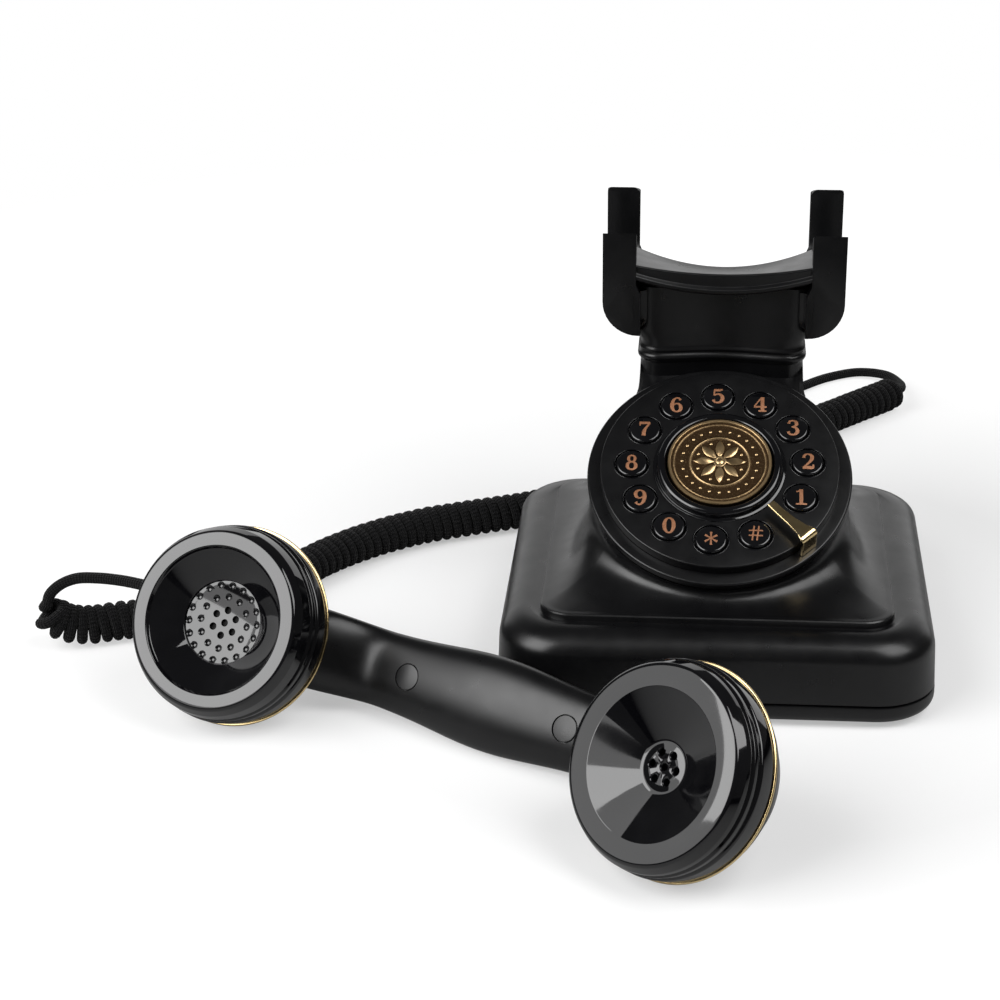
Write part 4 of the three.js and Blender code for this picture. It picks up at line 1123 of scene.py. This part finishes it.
def cap_side(face_r, face_z):
    """Outside of a cap from the gold ring up: a wide band, two grooves with a ridge between, a rim."""
    return [
        (29, 0.6, 0), (31.6, 0.6, 0.4), (31.7, 6.4, 0.9), (30.7, 6.9, 0.25), (30.7, 7.5, 0.25),
        (31.2, 7.8, 0.35), (31.15, 9.3, 0.4), (30.2, 9.8, 0.25), (30.2, 10.3, 0.25), (30.8, 10.7, 0.4),
        (face_r + 1.8, face_z - 3.2, 1.5), (face_r + 0.1, face_z, 1.6),
    ]


def copies(outline, count, ring_r, phase=0.0, z=0.0):
    """Copies of a small turned body, evenly spaced on a ring."""
    out = []
    for k in range(count):
        a = phase + 2 * math.pi * k / count
        out.append(moved(lathe(outline, 24), shift(ring_r * math.cos(a), ring_r * math.sin(a), z)))
    return out


def ear_cap():
    """Earpiece: a shallow cone down to a low round hub with seven holes."""
    outline = filleted(cap_side(28.7, 15.4) + [
        (22.3, 15.4, 0.5), (7.6, 8.6, 2.4), (5.2, 8.95, 2.0), (0, 8.95, 0), (0, 5.5, 0), (20, 9, 0), (29, 9, 0),
    ], 7)
    obj = make("earpiece", lathe(outline, 160), GLOSS, EAR_END, 40)
    hole = [(0, 4), (1.0, 4), (1.0, 8.5), (1.6, 9.1), (1.6, 12), (0, 12)]
    cut(obj, moved(merged(*copies(hole, 1, 0), *copies(hole, 6, 4.4)), EAR_END), sharp=50)
    finished(obj, "handset", "gloss_black", "ear_cap")


def mouth_cap():
    """Mouthpiece: a cone down to a saucer with seven holes and two rings of small round hollows."""
    def saucer(r):
        return 9.0 + 1.3 * (r / 12.6) ** 2

    outline = filleted(cap_side(28.2, 17.6) + [(23.6, 17.6, 0.6), (22.9, 16.4, 0.8), (12.9, 10.5, 0.5)], 7)[:-1]
    outline += [(r, saucer(r)) for r in np.linspace(12.6, 0, 18)]
    outline += [(0, 7.9), (12, 8.3), (22, 13.6), (28, 13.2)]
    obj = make("mouthpiece", lathe(outline, 160), GLOSS, MOUTH_END, 40)
    hole = [(0, 5), (1.2, 5), (1.2, 14), (0, 14)]
    cutters = copies(hole, 1, 0) + copies(hole, 6, 4.1, math.pi / 6)
    ball = [(HOLLOW_R * math.sin(a), -HOLLOW_R * math.cos(a)) for a in np.linspace(0, math.pi, 13)]
    ball[0], ball[-1] = (0, -HOLLOW_R), (0, HOLLOW_R)
    for count, ring_r, phase in ((12, 8.1, 0.1), (18, 11.9, 0.2)):
        cutters += copies(ball, count, ring_r, phase, saucer(ring_r) + 1.2)
    cut(obj, moved(merged(*cutters), MOUTH_END), sharp=40)
    finished(obj, "handset", "gloss_black", "mouth_cap")


def hole_shade_discs():
    """Dark discs behind the holes of both caps: painted shade that stands for the dark inside the holes."""
    for name, place, height in (("mouth", MOUTH_END, 7.65), ("ear", EAR_END, 5.2)):
        # each disc is a dark sheet of painted shade, seen through the cap's holes
        finished(make(f"{name}_hole_shade", rod(9, height, height + 0.2, 48), RUBBER, place), "handset", "rubber")


def reliefs():
    """Ribbed rubber sleeves where the cord leaves the base and the handset."""
    def sleeve(start, end, near, far, ribs):
        outline = [(0, start)]
        for k in range(ribs * 6 + 1):
            t = k / (ribs * 6)
            r = near + (far - near) * t - 0.25 * (k % 6 in (2, 3, 4))
            outline.append((r, start + (end - start) * t))
        return outline + [(0, end)]

    base_sleeve = merged(rod(5.6, 0, 1.4, 48), lathe(sleeve(1.4, 18, 3.9, 2.6, 5), 48))
    obj = make("base_sleeve", base_sleeve, RUBBER, shift(-30, BASE_Y - 4.6, 12.5) @ turn("X", -90), 30)
    finished(obj, "base", "rubber", "base_cord_relief")
    place = MOUTH_END @ shift(0, 0, -7) @ turn("Z", -5) @ turn("Y", -90)
    obj = make("handset_sleeve", lathe(sleeve(16.6, 38, 2.7, 2.35, 6), 48), RUBBER, place, 30)
    finished(obj, "handset", "rubber", "handset_cord_relief")


def hidden_parts():
    """CAD pieces that keep their shape get the material of their slot."""
    for entry in frame["record"]["subparts"]:
        node = frame["nodes"][entry["node"]]
        node.data.materials.clear()
        node.data.materials.append(BY_SLOT[entry["material_slot"]])


camera()
floor()
studio()
cord()
hidden_parts()
housing()
base_pan()
pillar()
for half in (-1, 1):
    fork(half)
    web(half)
saddle()
hook_plungers()
bezel()
plate()
for number in range(12):
    key(number)
    numeral(number)
hub()
finger_stop()
medallion()
handle()
cup_parts("mouth", MOUTH_END)
cup_parts("ear", EAR_END)
mouth_cap()
ear_cap()
# dark discs of painted shade behind the cap holes
hole_shade_discs()
reliefs()
